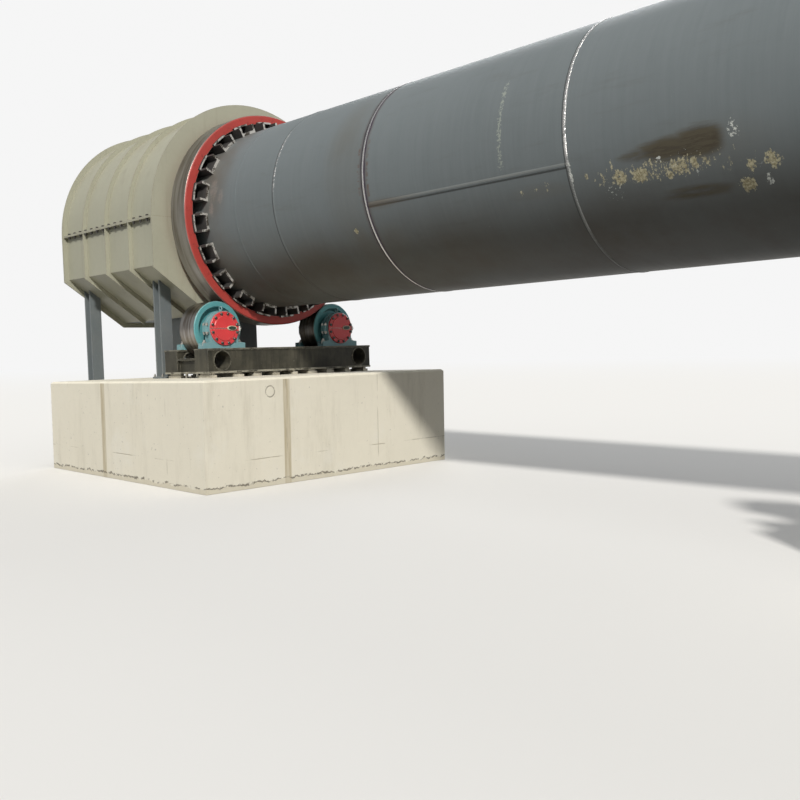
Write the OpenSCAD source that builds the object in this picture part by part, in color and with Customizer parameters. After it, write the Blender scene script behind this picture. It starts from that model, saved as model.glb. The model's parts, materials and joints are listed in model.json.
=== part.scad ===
// Rotary kiln: inclined welded steel barrel on two riding rings and four support rollers,
// turned by a girth gear and pinion, with a firing hood at the lower end.
// X runs along the kiln to its raised end, Y across it, Z up; the origin is on the ground
// below the lower riding ring.

/* [Barrel] */
// Outside diameter of the shell
shell_od = 1956; // [1600:2:2200]
// Thickness of the shell plate
shell_wall = 28; // [16:1:40]
// Slope of the kiln in degrees
slope = 1.15; // [0.8:0.05:2]
// Length of an ordinary shell course
course_len = 2105; // [1800:5:2300]
// Half length of the shell course under a riding ring
ring_course_half = 770; // [600:10:800]
// Length of the short course beside the lower riding ring
short_course_len = 640; // [500:10:800]
// Length of the second course beside the lower riding ring
second_course_len = 1270; // [1000:10:1600]
// Distance from the lower riding ring to the shell's lower end
lower_end = 1000; // [900:10:1200]
// Height of a weld bead over the plate
bead_h = 4; // [2:1:6]
// Width of a weld bead round the shell
bead_w = 24; // [16:1:32]
// Width of a lengthwise weld bead
seam_w = 38; // [24:1:44]

/* [Riding rings] */
// Outside diameter of a riding ring
ring_od = 2350; // [2300:5:2500]
// Radial thickness of a riding ring
ring_t = 100; // [80:1:110]
// Width of a riding ring
ring_w = 280; // [200:5:300]
// Distance between the two riding rings
ring_span = 11000; // [10600:10:11400]
// Number of filler pads under a riding ring
pad_count = 20; // [18:1:30]
// Width of a filler pad round the shell
pad_w = 185; // [100:5:200]
// Reach of the pads in front of the riding ring
pad_front = 130; // [90:5:150]
// Reach of the pads behind the riding ring
pad_back = 55; // [40:5:60]
// Thickness of a pad's plate on the shell
pad_plate_t = 28; // [20:1:36]
// Thickness of a pad's two feet, on which the riding ring stands
pad_foot_t = 20; // [14:1:26]
// Gap between pieces that seat on each other
seat = 0.3; // [0.2:0.05:0.4]

/* [Support rollers] */
// Diameter of a support roller
roller_d = 600; // [560:5:620]
// Width of a support roller
roller_w = 290; // [286:1:310]
// Angle of a support roller from straight below the kiln
roller_angle = 34; // [30:0.5:36]
// Diameter of a roller shaft
roller_shaft_d = 150; // [120:5:180]
// Height of a roller shaft over its base frame
bearing_h = 212; // [200:1:240]
// Outside diameter of a bearing end cover
cover_d = 364; // [260:2:370]
// Thickness of a bearing end cover
cover_t = 23; // [16:1:30]
// Width of a roller bearing housing
housing_w = 105; // [100:1:140]
// Running clearance of a shaft in its bearing
run_gap = 0.3; // [0.2:0.05:0.5]

/* [Base frames and piers] */
// Height of a base frame
frame_h = 262; // [220:1:320]
// Length of a base frame across the kiln
frame_len = 2300; // [2100:10:2400]
// Distance from the ring's centre to the outer face of a base beam
frame_reach = 430; // [420:5:480]
// Width of a base beam
beam_w = 270; // [220:5:280]
// Thickness of a flange of a base beam
flange_t = 20; // [12:1:30]
// Thickness of a web of a base beam
web_t = 14; // [8:1:20]
// Width of the cross beams of a base frame
cross_w = 90; // [70:5:120]
// Height of the cross beams
cross_h = 165; // [120:5:180]
// Outside diameter of the pipe sleeves through the base beams
pipe_d = 216; // [150:2:220]
// Distance from a sleeve's centre to the end of its beam
pipe_to_end = 177; // [160:1:230]
// Height of the packing plates
shim_h = 45; // [20:1:60]
// Height of the lower pier at the origin
pier_h = 1000; // [900:10:1200]
// Reach of a pier towards the kiln's raised end
pier_front = 1530; // [1400:10:1700]
// Reach of the lower pier towards the hood
pier_back = 1530; // [1400:10:1600]
// Reach of the upper pier towards the drive
upper_pier_back = 800; // [700:10:820]
// Reach of a pier on the near side
pier_near = 1950; // [1400:10:2100]
// Reach of a pier on the far side
pier_far = 1250; // [1200:10:1500]
// Bevel along the edges of a pier's top
pier_edge = 20; // [10:1:30]

/* [Girth gear and drive] */
// Gear module
gear_module = 28; // [26:1:28]
// Teeth of the girth gear
gear_teeth = 96; // [92:2:100]
// Teeth of the pinion
pinion_teeth = 17; // [17:1:19]
// Face width of the girth gear
gear_w = 260; // [220:5:280]
// Face width of the pinion
pinion_w = 290; // [285:5:310]
// Play between the teeth
backlash = 3; // [2:0.5:4]
// Radial thickness of the gear's rim under the teeth
rim_t = 60; // [40:1:70]
// Distance from the gear to the upper riding ring
gear_to_ring = 1400; // [1360:10:1500]
// Angle of the pinion from straight below the kiln
pinion_angle = 35; // [32:1:38]
// Number of spring plates
spring_count = 12; // [8:1:14]
// Thickness of a spring plate
spring_t = 18; // [12:1:24]
// Width of a spring plate along the kiln
spring_w = 180; // [140:5:190]
// Diameter of a spring plate pin
spring_pin_d = 44; // [30:1:50]
// Diameter of the pinion shaft
pinion_shaft_d = 160; // [120:5:180]
// Height of the pinion shaft over the drive base
pinion_bearing_h = 300; // [290:5:340]
// Height of the drive base
drive_base_h = 220; // [180:5:260]

/* [Firing hood] */
// Outside radius of the hood's arch
hood_r = 1360; // [1340:5:1420]
// Distance from the lower riding ring to the hood's front
hood_start = 215; // [215:5:240]
// Length of the hood
hood_len = 2100; // [1800:10:2400]
// Thickness of the hood plates
hood_wall = 20; // [10:1:30]
// Depth of the hood below the kiln's axis
hood_drop = 1100; // [1060:10:1160]
// Height of the hood's upright sides below the kiln's axis
hood_side = 550; // [500:10:600]
// Reach of the hood's end plates beyond its casing
hood_lip = 60; // [40:5:70]
// Height of the hood's plinth
plinth_h = 300; // [200:10:400]
// Gap between the shell and the seal ring
seal_gap = 6; // [5:0.5:10]

/* [End brace] */
// Number of spokes of the end brace
spoke_count = 12; // [8:1:16]
// Distance from the brace to the shell's upper end
brace_in = 120; // [110:5:200]
// Side of the brace's centre plate
brace_plate_w = 700; // [500:10:800]
// Thickness of the brace bars
brace_t = 16; // [10:1:24]
// Width of the brace bars along the kiln
brace_w = 100; // [60:5:140]

/* [Hidden] */

$fn = 96;
eps = 1;
shell_r = shell_od / 2;
shell_in = shell_r - shell_wall;
ring_r = ring_od / 2;
ring_in = ring_r - ring_t;
roller_r = roller_d / 2;
roller_face = roller_w / 2;
roller_c = ring_r + roller_r + seat;
roller_drop = roller_c * cos(roller_angle);
roller_y = roller_c * sin(roller_angle);
frame_top = -(roller_drop + bearing_h);
frame_bottom = frame_top - frame_h;
pier_drop = -frame_bottom + shim_h + seat;
axis_h = pier_h + pier_drop / cos(slope);

gear_at = ring_span - gear_to_ring;
gear_pitch_r = gear_module * gear_teeth / 2;
pinion_pitch_r = gear_module * pinion_teeth / 2;
gear_root_r = gear_pitch_r - 1.25 * gear_module;
gear_rim_in = gear_root_r - rim_t;
pinion_c = gear_pitch_r + pinion_pitch_r;
pinion_y = -pinion_c * sin(pinion_angle);
pinion_z = -pinion_c * cos(pinion_angle);
drive_top = pinion_z - pinion_bearing_h;
drive_drop = -drive_top + drive_base_h + seat;

// Ends of the shell courses along the kiln, from the lower end up
middle_from = ring_course_half + short_course_len + second_course_len + course_len;
middle_count = 3;
middle_len = (ring_span - ring_course_half - middle_from) / middle_count;
course_ends = concat(
  [-lower_end, ring_course_half, ring_course_half + short_course_len, middle_from - course_len],
  [for (i = [0:middle_count]) middle_from + i * middle_len],
  [ring_span + ring_course_half, ring_span + ring_course_half + course_len]
);
upper_end = course_ends[len(course_ends) - 1];

blue_grey = [0.40, 0.46, 0.49];
ring_red = [0.70, 0.16, 0.14];
signal_red = [0.80, 0.09, 0.10];
teal = [0.20, 0.55, 0.58];
frame_black = [0.10, 0.10, 0.10];
concrete = [0.80, 0.76, 0.66];
cream = [0.73, 0.74, 0.62];
gear_orange = [0.72, 0.22, 0.12];
machine_green = [0.18, 0.42, 0.34];
dark_steel = [0.20, 0.20, 0.21];

// Children stand in the kiln's inclined frame, at a distance along its axis
module station(along) {
  translate([0, 0, axis_h]) rotate([0, -slope, 0]) translate([along, 0, 0]) children();
}

// Children are turned about Z, which is laid along the kiln; their X points straight down
module on_axis(along) {
  station(along) rotate([0, 90, 0]) children();
}

// Copies children to an angle round the axis, counted from straight below
module around(count, first = 0) {
  for (i = [0:count - 1]) rotate([0, 0, first + i * 360 / count]) children();
}

// A bent bar round the shell: a sector of a ring
module bent_bar(r_in, r_out, width, from, to) {
  sector = width / r_in * 180 / PI;
  rotate([0, 0, -sector / 2]) rotate_extrude(angle = sector)
    translate([r_in, from]) square([r_out - r_in, to - from]);
}

// An I-section along X, standing on its lower flange
module i_beam(length, width, height) {
  for (level = [0, height - flange_t])
    translate([0, -width / 2, level]) cube([length, width, flange_t]);
  translate([0, -web_t / 2, 0]) cube([length, web_t, height]);
}

// Crowned section of a weld bead on a plate face at a distance along X; out is 1 or -1
module bead_section(face, out, width) {
  crown = out * bead_h;
  translate([face, 0]) polygon([
    [-out * eps, 0], [0.7 * crown, 0.2 * width], [crown, width / 2],
    [0.7 * crown, 0.8 * width], [-out * eps, width]
  ]);
}

// Turn of the filler pads round the shell at rest
pad_turn = 6;

// Angle of a course's lengthwise weld: between two pads, between two spring plates, or staggered
seam_first = -75;
seam_step = 105;
function seam_angle(number) =
  let (from = course_ends[number - 1], to = course_ends[number], far_quarter = 90)
  (from < 0 && to > 0) || (from < ring_span && to > ring_span)
    ? pad_turn + (floor(far_quarter * pad_count / 360) + 0.5) * 360 / pad_count
    : from < gear_at + spring_w / 2 && to > gear_at - spring_w / 2
      ? spring_turn - spring_lean + (floor(far_quarter * spring_count / 360) + 0.5) * 360 / spring_count
      : seam_first + seam_step * (number - 4);

module shell_course(number) {
  from = course_ends[number - 1];
  length = course_ends[number] - from;
  last = number == len(course_ends) - 1;
  color(blue_grey) on_axis(from) {
    rotate_extrude() {
      translate([shell_in, 0]) square([shell_wall, length]);
      if (!last) translate([0, length - bead_w]) {
        bead_section(shell_r, 1, bead_w);
        bead_section(shell_in, -1, bead_w);
      }
    }
    rotate([0, 0, seam_angle(number)]) linear_extrude(length)
      translate([0, -seam_w / 2]) bead_section(shell_r, 1, seam_w);
  }
}

module riding_ring(along) {
  edge = 12;
  color(ring_red) on_axis(along) rotate_extrude() polygon([
    [ring_in, -ring_w / 2], [ring_r - edge, -ring_w / 2], [ring_r, -ring_w / 2 + edge],
    [ring_r, ring_w / 2 - edge], [ring_r - edge, ring_w / 2], [ring_in, ring_w / 2]
  ]);
}

// Each pad is a bent channel: a plate on the shell with two feet on which the ring stands
module filler_pads(along) {
  back = -ring_w / 2 - pad_back;
  front = ring_w / 2 + pad_front;
  color(dark_steel) on_axis(along) around(pad_count, pad_turn) difference() {
    bent_bar(shell_r + seat, ring_in - seat, pad_w, back, front);
    bent_bar(shell_r + pad_plate_t, ring_in, pad_w - 2 * pad_foot_t, back - eps, front + eps);
  }
}

// Bars across the feet of each pad keep the ring from moving along the kiln
module stop_blocks(along) {
  block_t = 30;
  block_h = 18;
  color(dark_steel) on_axis(along) around(pad_count, pad_turn) {
    bent_bar(ring_in, ring_in + block_h, pad_w, ring_w / 2 + seat, ring_w / 2 + block_t);
    bent_bar(ring_in, ring_in + block_h, pad_w, -ring_w / 2 - block_t, -ring_w / 2 - seat);
  }
}

// Involute of a base circle at an unrolled angle in degrees
function involute(base_r, roll) = [
  base_r * (cos(roll) + roll * PI / 180 * sin(roll)),
  base_r * (sin(roll) - roll * PI / 180 * cos(roll))
];
function turned(p, angle) = [p[0] * cos(angle) - p[1] * sin(angle), p[0] * sin(angle) + p[1] * cos(angle)];
function roll_at(base_r, r) = r <= base_r ? 0 : sqrt(pow(r / base_r, 2) - 1) * 180 / PI;
function involute_lead(a) = tan(a) * 180 / PI - a;

pressure_angle = 20;
flank_steps = 3;

// Outline of a spur gear with a tooth centred on the X axis
function gear_outline(teeth, outer_r, root_r) =
  let (
    pitch_r = gear_module * teeth / 2,
    base_r = pitch_r * cos(pressure_angle),
    half = 90 / teeth - backlash / 4 / pitch_r * 180 / PI + involute_lead(pressure_angle),
    start_r = max(base_r, root_r),
    flank = [
      for (i = [0:flank_steps])
        turned(involute(base_r, roll_at(base_r, start_r + (outer_r - start_r) * i / flank_steps)), -half)
    ],
    root_angle = atan2(flank[0][1], flank[0][0])
  ) [
    for (k = [0:teeth - 1])
      let (a = k * 360 / teeth)
        each concat(
          [turned([root_r, 0], a + root_angle)],
          [for (p = flank) turned(p, a)],
          [for (i = [flank_steps:-1:0]) turned([flank[i][0], -flank[i][1]], a)],
          [turned([root_r, 0], a - root_angle)]
        )
  ];

spring_eye_wall = 22;
spring_eye_r = spring_pin_d / 2 + spring_eye_wall;
spring_eye_at = gear_rim_in - spring_eye_r - 12;
lug_t = 30;
lug_gap = 4;

// The two halves of the rim meet at flanges on its inside, with lugs for the spring plates between
module girth_gear() {
  lug_x = spring_w / 2 + lug_gap;
  joint_t = 35;
  joint_h = 90;
  root = 8;
  color(gear_orange) on_axis(gear_at) {
    difference() {
      translate([0, 0, -gear_w / 2]) rotate([0, 0, -pinion_angle]) linear_extrude(gear_w)
        polygon(gear_outline(gear_teeth, gear_pitch_r + gear_module, gear_root_r));
      translate([0, 0, -gear_w / 2 - eps]) cylinder(r = gear_rim_in, h = gear_w + 2 * eps);
    }
    around(2) translate([gear_rim_in - joint_h, -joint_t, -gear_w / 2 + joint_t])
      cube([joint_h + root, 2 * joint_t, gear_w - 2 * joint_t]);
    around(spring_count, spring_turn) {
      for (side = [-1, 1])
        translate([spring_eye_at, 0, side * (lug_x + lug_t / 2) - lug_t / 2]) {
          cylinder(r = spring_eye_r, h = lug_t, $fn = 32);
          translate([0, -spring_eye_r, 0])
            cube([gear_rim_in - spring_eye_at + root, 2 * spring_eye_r, lug_t]);
        }
      translate([spring_eye_at, 0, -lug_x - lug_t / 2])
        cylinder(d = spring_pin_d, h = 2 * lug_x + lug_t, $fn = 32);
    }
  }
}

// A spring plate leaves the shell at a tangent and reaches the pin on the gear's rim
spring_foot_t = 26;
spring_foot_len = 300;
spring_line = shell_r + spring_foot_t + spring_t / 2;
spring_reach = sqrt(pow(spring_eye_at, 2) - pow(spring_line, 2));
spring_lean = atan2(spring_reach, spring_line);
spring_turn = 180 / spring_count;

module spring_plates() {
  plate_from = -spring_foot_len / 2;
  eye_play = 4;
  color(gear_orange) on_axis(gear_at) around(spring_count, spring_turn - spring_lean) {
    difference() {
      union() {
        translate([spring_line - spring_t / 2, plate_from, -spring_w / 2])
          cube([spring_t, spring_reach - plate_from - spring_pin_d / 2 - 2 * eye_play, spring_w]);
        translate([spring_line, spring_reach, -spring_w / 2])
          cylinder(r = spring_eye_r - eye_play, h = spring_w, $fn = 32);
      }
      translate([spring_line, spring_reach, -spring_w / 2 - eps])
        cylinder(r = spring_pin_d / 2 + seat, h = spring_w + 2 * eps, $fn = 32);
    }
    difference() {
      translate([shell_r - spring_foot_t, plate_from, -spring_w / 2])
        cube([2 * spring_foot_t, spring_foot_len, spring_w]);
      translate([0, 0, -spring_w]) cylinder(r = shell_r + seat, h = 2 * spring_w);
    }
  }
}

brace_at = upper_end - brace_in;
brace_ring_d = 24;
brace_ring_share = 0.69;

module brace_spokes() {
  color(ring_red) on_axis(brace_at) {
    around(spoke_count, 180 / spoke_count)
      translate([0, -brace_t / 2, 0]) cube([shell_in - seat, brace_t, brace_w]);
    rotate_extrude() translate([brace_ring_share * shell_in, brace_w / 2])
      circle(d = brace_ring_d, $fn = 16);
  }
}

module brace_plate() {
  plate_t = 16;
  color(ring_red) on_axis(brace_at + brace_w) translate([-brace_plate_w / 2, -brace_plate_w / 2, seat])
    cube([brace_plate_w, brace_plate_w, plate_t]);
}

shaft_step = 15;
shoulder_w = 5;
housing_gap = 12;
housing_near = roller_face + housing_gap;
housing_end = housing_near + housing_w;
shaft_inset = 15;
shaft_mid_r = roller_shaft_d / 2 + shaft_step;

// Children stand at a roller's axis, with Z along the kiln; side is -1 near and 1 far
module at_roller(along, side) {
  on_axis(along) translate([roller_drop, side * roller_y, 0]) children();
}

// A cast roller with a recess in each side between its hub and rim
module support_roller(along, side) {
  bore = shaft_mid_r + seat;
  hub_r = shaft_mid_r + 40;
  rim = 55;
  dish = 50;
  taper = dish / 2;
  edge = 8;
  color(dark_steel) at_roller(along, side) rotate_extrude() polygon([
    [bore, -roller_face], [hub_r, -roller_face],
    [hub_r + taper, -roller_face + dish], [roller_r - rim - taper, -roller_face + dish],
    [roller_r - rim, -roller_face], [roller_r - edge, -roller_face],
    [roller_r, -roller_face + edge], [roller_r, roller_face - edge],
    [roller_r - edge, roller_face], [roller_r - rim, roller_face],
    [roller_r - rim - taper, roller_face - dish], [hub_r + taper, roller_face - dish],
    [hub_r, roller_face], [bore, roller_face]
  ]);
}

module roller_shaft(along, side) {
  half = housing_end - shaft_inset;
  middle = roller_face + shoulder_w;
  journal = roller_shaft_d / 2;
  color("silver") at_roller(along, side) rotate_extrude() polygon([
    [0, -half], [journal, -half], [journal, -middle], [shaft_mid_r, -middle],
    [shaft_mid_r, middle], [journal, middle], [journal, half], [0, half]
  ]);
}

// One pillow block across the origin: a split round body on a pedestal with gusseted feet
block_ear = 76;
block_band = 20;
block_step = 12;
foot_t = 34;
foot_end = 58;
gusset_t = 18;
cap_flange_t = 68;
cap_flange_out = 30;

module pillow_block(shaft_h, body_d, width, shaft_d) {
  foot_w = body_d + 2 * block_ear;
  body_r = body_d / 2 - block_step;
  flange_w = body_d + 2 * cap_flange_out;
  gusset_top = 0.68 * shaft_h;
  rotate([90, 0, 90]) translate([0, 0, -width / 2]) difference() {
    union() {
      cylinder(r = body_r, h = width, $fn = 64);
      for (level = [0, width - block_band])
        translate([0, 0, level]) cylinder(d = body_d, h = block_band, $fn = 64);
      linear_extrude(width) polygon([
        [-body_r, 0], [-body_r, -shaft_h], [body_r, -shaft_h], [body_r, 0]
      ]);
      translate([-foot_w / 2, -shaft_h, 0]) cube([foot_w, foot_t, width]);
      for (level = [0, width - gusset_t]) translate([0, 0, level]) linear_extrude(gusset_t) polygon([
        [-foot_w / 2, -shaft_h], [foot_w / 2, -shaft_h], [foot_w / 2, -shaft_h + foot_end],
        [body_r, -gusset_top], [-body_r, -gusset_top], [-foot_w / 2, -shaft_h + foot_end]
      ]);
      translate([-flange_w / 2, -cap_flange_t / 2, block_band])
        cube([flange_w, cap_flange_t, width - 2 * block_band]);
    }
    translate([0, 0, -eps]) cylinder(d = shaft_d + 2 * run_gap, h = width + 2 * eps, $fn = 48);
  }
}

// Children stand at the four bearings of a station, with X pointing away from the roller
module at_bearings(along) {
  for (side = [-1, 1], end = [-1, 1])
    station(along) translate([end * (housing_near + housing_w / 2), side * roller_y, -roller_drop])
      rotate([0, 0, end > 0 ? 0 : 180]) children();
}

cover_rim = 8;

module bearing_housings(along) {
  color(teal) at_bearings(along)
    pillow_block(bearing_h, cover_d + 2 * cover_rim, housing_w, roller_shaft_d);
}

// A turned cover with a bevelled rim and a raised middle
module bearing_covers(along) {
  cover_r = cover_d / 2;
  bevel = 5;
  bolt_face = 44;
  step = 7;
  color(signal_red) at_bearings(along) translate([housing_w / 2 + seat, 0, 0]) rotate([0, 90, 0])
    rotate_extrude() polygon([
      [0, 0], [cover_r, 0], [cover_r, cover_t - step - bevel], [cover_r - bevel, cover_t - step],
      [cover_r - bolt_face, cover_t - step], [cover_r - bolt_face - step, cover_t], [0, cover_t]
    ]);
}

beam_at = frame_reach - beam_w / 2;
pipe_y = frame_len / 2 - pipe_to_end;
pipe_wall = 8;
web_in = 12;

// A box beam across the kiln, closed at its ends, with two pipe sleeves through its webs
module base_beam() {
  middle = (frame_top + frame_bottom) / 2;
  sleeve_out = 4;
  difference() {
    union() {
      for (level = [frame_bottom, frame_top - flange_t])
        translate([-beam_w / 2, -frame_len / 2, level]) cube([beam_w, frame_len, flange_t]);
      for (web = [-1, 1])
        translate([web * (beam_w / 2 - web_in - web_t / 2) - web_t / 2, -frame_len / 2, frame_bottom])
          cube([web_t, frame_len, frame_h]);
      for (y = [-frame_len / 2, frame_len / 2 - web_t])
        translate([-beam_w / 2 + web_in, y, frame_bottom]) cube([beam_w - 2 * web_in, web_t, frame_h]);
    }
    for (y = [-1, 1]) translate([-beam_w, y * pipe_y, middle])
      rotate([0, 90, 0]) cylinder(d = pipe_d - 2, h = 2 * beam_w, $fn = 48);
  }
  for (y = [-1, 1]) translate([-beam_w / 2 + sleeve_out, y * pipe_y, middle])
    rotate([0, 90, 0]) difference() {
      cylinder(d = pipe_d, h = beam_w - 2 * sleeve_out, $fn = 48);
      translate([0, 0, -eps]) cylinder(d = pipe_d - 2 * pipe_wall, h = beam_w, $fn = 48);
    }
}

module base_frame(along) {
  inner = frame_reach - beam_w;
  end_y = frame_len / 2 - cross_w / 2;
  middle_y = roller_y - roller_r - cross_w;
  color(frame_black) station(along) {
    for (end = [-1, 1]) translate([end * beam_at, 0, 0]) base_beam();
    for (y = [-end_y, -middle_y, middle_y, end_y]) translate([0, y, frame_bottom]) {
      translate([-inner - eps, 0, 0]) i_beam(2 * (inner + eps), cross_w, cross_h);
      translate([-inner - web_in - eps, -web_t / 2, 0]) cube([2 * (inner + web_in + eps), web_t, cross_h]);
    }
  }
}

// Packing stands in uneven stacks of two plates under both beams
module packing_plates(along) {
  rows = 9;
  shortest = 70;
  step = 20;
  sizes = 4;
  inset = 15;
  lower = 0.6 * shim_h;
  color("gainsboro") station(along) for (end = [-1, 1], i = [0:rows - 1]) {
    stack = shortest + step * (i * 3 % sizes);
    reach = beam_w - 2 * inset;
    translate([end * beam_at, (i / (rows - 1) - 0.5) * (frame_len - 2 * stack), -pier_drop + seat]) {
      translate([-reach / 2, -stack / 2, 0]) cube([reach, stack, lower]);
      translate([-reach / 2 + inset, -stack / 2 + inset, 0])
        cube([reach - 2 * inset, stack - 2 * inset, shim_h]);
    }
  }
}

// Level of a plane parallel to the kiln, at a depth below its axis and a place along X
function plane_z(x, drop) = axis_h + x * tan(slope) - drop / cos(slope);
function plane_x(along, drop) = along * cos(slope) + drop * sin(slope);

// A block from the ground up to a plane parallel to the kiln, with bevelled top edges
module block_on_ground(x_from, x_to, y_from, y_to, drop) {
  bevel = pier_edge * sqrt(2);
  difference() {
    translate([0, y_to, 0]) rotate([90, 0, 0]) linear_extrude(y_to - y_from) polygon([
      [x_from, 0], [x_to, 0], [x_to, plane_z(x_to, drop) - pier_edge],
      [x_to - pier_edge, plane_z(x_to - pier_edge, drop)],
      [x_from + pier_edge, plane_z(x_from + pier_edge, drop)], [x_from, plane_z(x_from, drop) - pier_edge]
    ]);
    for (y = [y_from, y_to]) station((x_from + x_to) / 2) translate([0, y, -drop])
      rotate([45, 0, 0]) cube([2 * (x_to - x_from), bevel, bevel], center = true);
  }
}

module pier(along, back) {
  middle = plane_x(along, pier_drop);
  color(concrete)
    block_on_ground(middle - back, middle + pier_front, -pier_near, pier_far, pier_drop);
}

// The drive stands in one line beside the kiln: pinion, gear reducer, coupling, motor
pinion_block_d = 330;
pinion_block_w = 150;
pinion_block_gap = 40;
pinion_block_at = pinion_w / 2 + pinion_block_gap + pinion_block_w / 2;
coupling_l = 190;
coupling_d = 300;
coupling_gap = 10;
pinion_end = pinion_block_at + pinion_block_w / 2;
shaft_in_coupling = coupling_l / 2;
reducer_from = -pinion_end - shaft_in_coupling - coupling_l / 2 - 2 * coupling_gap;
reducer_len = 900;
reducer_w = 620;
guard_len = 240;
motor_from = reducer_from - reducer_len - guard_len;
motor_len = 760;
motor_cowl_l = 150;
motor_foot_l = 150;
base_over = 60;
drive_from = motor_from - motor_len - base_over;
drive_to = pinion_end + base_over;
drive_w = 760;
drive_beam_w = 140;
pier_over = 80;

module drive_pier() {
  middle = plane_x(gear_at, drive_drop);
  color(concrete) block_on_ground(
    middle + drive_from - pier_over, middle + drive_to + pier_over,
    pinion_y - drive_w / 2 - pier_over, pinion_y + drive_w / 2 + pier_over, drive_drop);
}

// Two long beams with a bed across them under each bearing, the reducer, the guard and the motor
module drive_base() {
  bed_w = 160;
  beam_y = drive_w / 2 - drive_beam_w / 2;
  beds = [
    -pinion_block_at, pinion_block_at, reducer_from - bed_w, reducer_from - reducer_len + bed_w,
    motor_from + guard_len / 2, motor_from - motor_foot_l / 2,
    motor_from - motor_len + motor_cowl_l + motor_foot_l / 2
  ];
  color(frame_black) station(gear_at) translate([0, pinion_y, drive_top - drive_base_h]) {
    for (y = [-beam_y, beam_y]) translate([drive_from, y, 0])
      i_beam(drive_to - drive_from, drive_beam_w, drive_base_h);
    for (x = beds) translate([x, -beam_y, 0]) rotate([0, 0, 90]) i_beam(2 * beam_y, bed_w, drive_base_h);
  }
}

module pinion() {
  shaft_from = -pinion_end - coupling_gap - shaft_in_coupling;
  color("silver") on_axis(gear_at) translate([-pinion_z, pinion_y, 0]) {
    translate([0, 0, -pinion_w / 2])
      rotate([0, 0, 180 - pinion_angle + 180 / pinion_teeth]) linear_extrude(pinion_w)
        polygon(gear_outline(pinion_teeth, pinion_pitch_r + gear_module,
          pinion_pitch_r - 1.25 * gear_module));
    translate([0, 0, shaft_from])
      cylinder(d = pinion_shaft_d, h = pinion_end + shaft_inset - shaft_from, $fn = 48);
  }
}

// Two hubs with a bolted flange pair between them
module pinion_coupling() {
  hub_d = coupling_d - 90;
  pair_t = 60;
  color(machine_green) on_axis(gear_at)
    translate([-pinion_z, pinion_y, reducer_from + coupling_gap])
      difference() {
        union() {
          cylinder(d = hub_d, h = coupling_l, $fn = 48);
          translate([0, 0, (coupling_l - pair_t) / 2]) cylinder(d = coupling_d, h = pair_t, $fn = 48);
        }
        translate([0, 0, coupling_l / 2])
          cylinder(d = pinion_shaft_d + 2 * seat, h = coupling_l, $fn = 48);
      }
}

module pinion_bearings() {
  color(teal) station(gear_at) for (end = [-1, 1])
    translate([end * pinion_block_at, pinion_y, pinion_z])
      pillow_block(pinion_bearing_h, pinion_block_d, pinion_block_w, pinion_shaft_d);
}

module half_disc(radius) {
  intersection() {
    circle(r = radius);
    translate([-radius, 0]) square([2 * radius, radius]);
  }
}

// Half-round top over an upright lower part, as a section across the drive
module arched_section(half_w, depth) {
  half_disc(half_w);
  translate([-half_w, -depth]) square([2 * half_w, depth]);
}

// Children stand on the drive's shaft line, as a section across it, extruded along it
module along_drive(from, length) {
  station(gear_at) translate([from, pinion_y, pinion_z]) rotate([90, 0, 90])
    linear_extrude(length) children();
}

module gear_reducer() {
  foot_plate_t = 40;
  flange_half_t = 22;
  side_in = 40;
  end_in = 30;
  case_half = reducer_w / 2 - side_in;
  case_from = reducer_from - reducer_len + end_in;
  case_len = reducer_len - 2 * end_in;
  rib_t = 22;
  rib_count = 5;
  boss_r = 150;
  hatch = [300, 220, 24];
  color(machine_green) {
    along_drive(case_from, case_len) arched_section(case_half, pinion_bearing_h);
    along_drive(reducer_from - reducer_len + end_in / 2, reducer_len - end_in)
      translate([-reducer_w / 2 + side_in / 4, -flange_half_t])
        square([reducer_w - side_in / 2, 2 * flange_half_t]);
    along_drive(reducer_from - reducer_len, reducer_len) translate([-reducer_w / 2, -pinion_bearing_h])
      square([reducer_w, foot_plate_t]);
    for (i = [0:rib_count - 1])
      along_drive(case_from + (case_len - rib_t) * i / (rib_count - 1), rib_t)
        translate([-reducer_w / 2 + side_in / 4, -pinion_bearing_h])
          square([reducer_w - side_in / 2, pinion_bearing_h]);
    along_drive(reducer_from - reducer_len, reducer_len - end_in / 6) circle(r = boss_r, $fn = 48);
    station(gear_at) translate([
      case_from + case_len / 2 - hatch[0] / 2, pinion_y - hatch[1] / 2, pinion_z + case_half - hatch[2]
    ]) cube([hatch[0], hatch[1], 2 * hatch[2]]);
  }
}

module coupling_guard() {
  guard_half = 150;
  sheet = 8;
  foot_out = 45;
  color("gold") along_drive(motor_from, guard_len) {
    difference() {
      arched_section(guard_half, pinion_bearing_h);
      arched_section(guard_half - sheet, pinion_bearing_h + eps);
    }
    for (side = [-1, 1])
      translate([side * (guard_half + foot_out / 2 - sheet / 2) - foot_out / 2, -pinion_bearing_h])
        square([foot_out, sheet]);
  }
}

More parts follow.
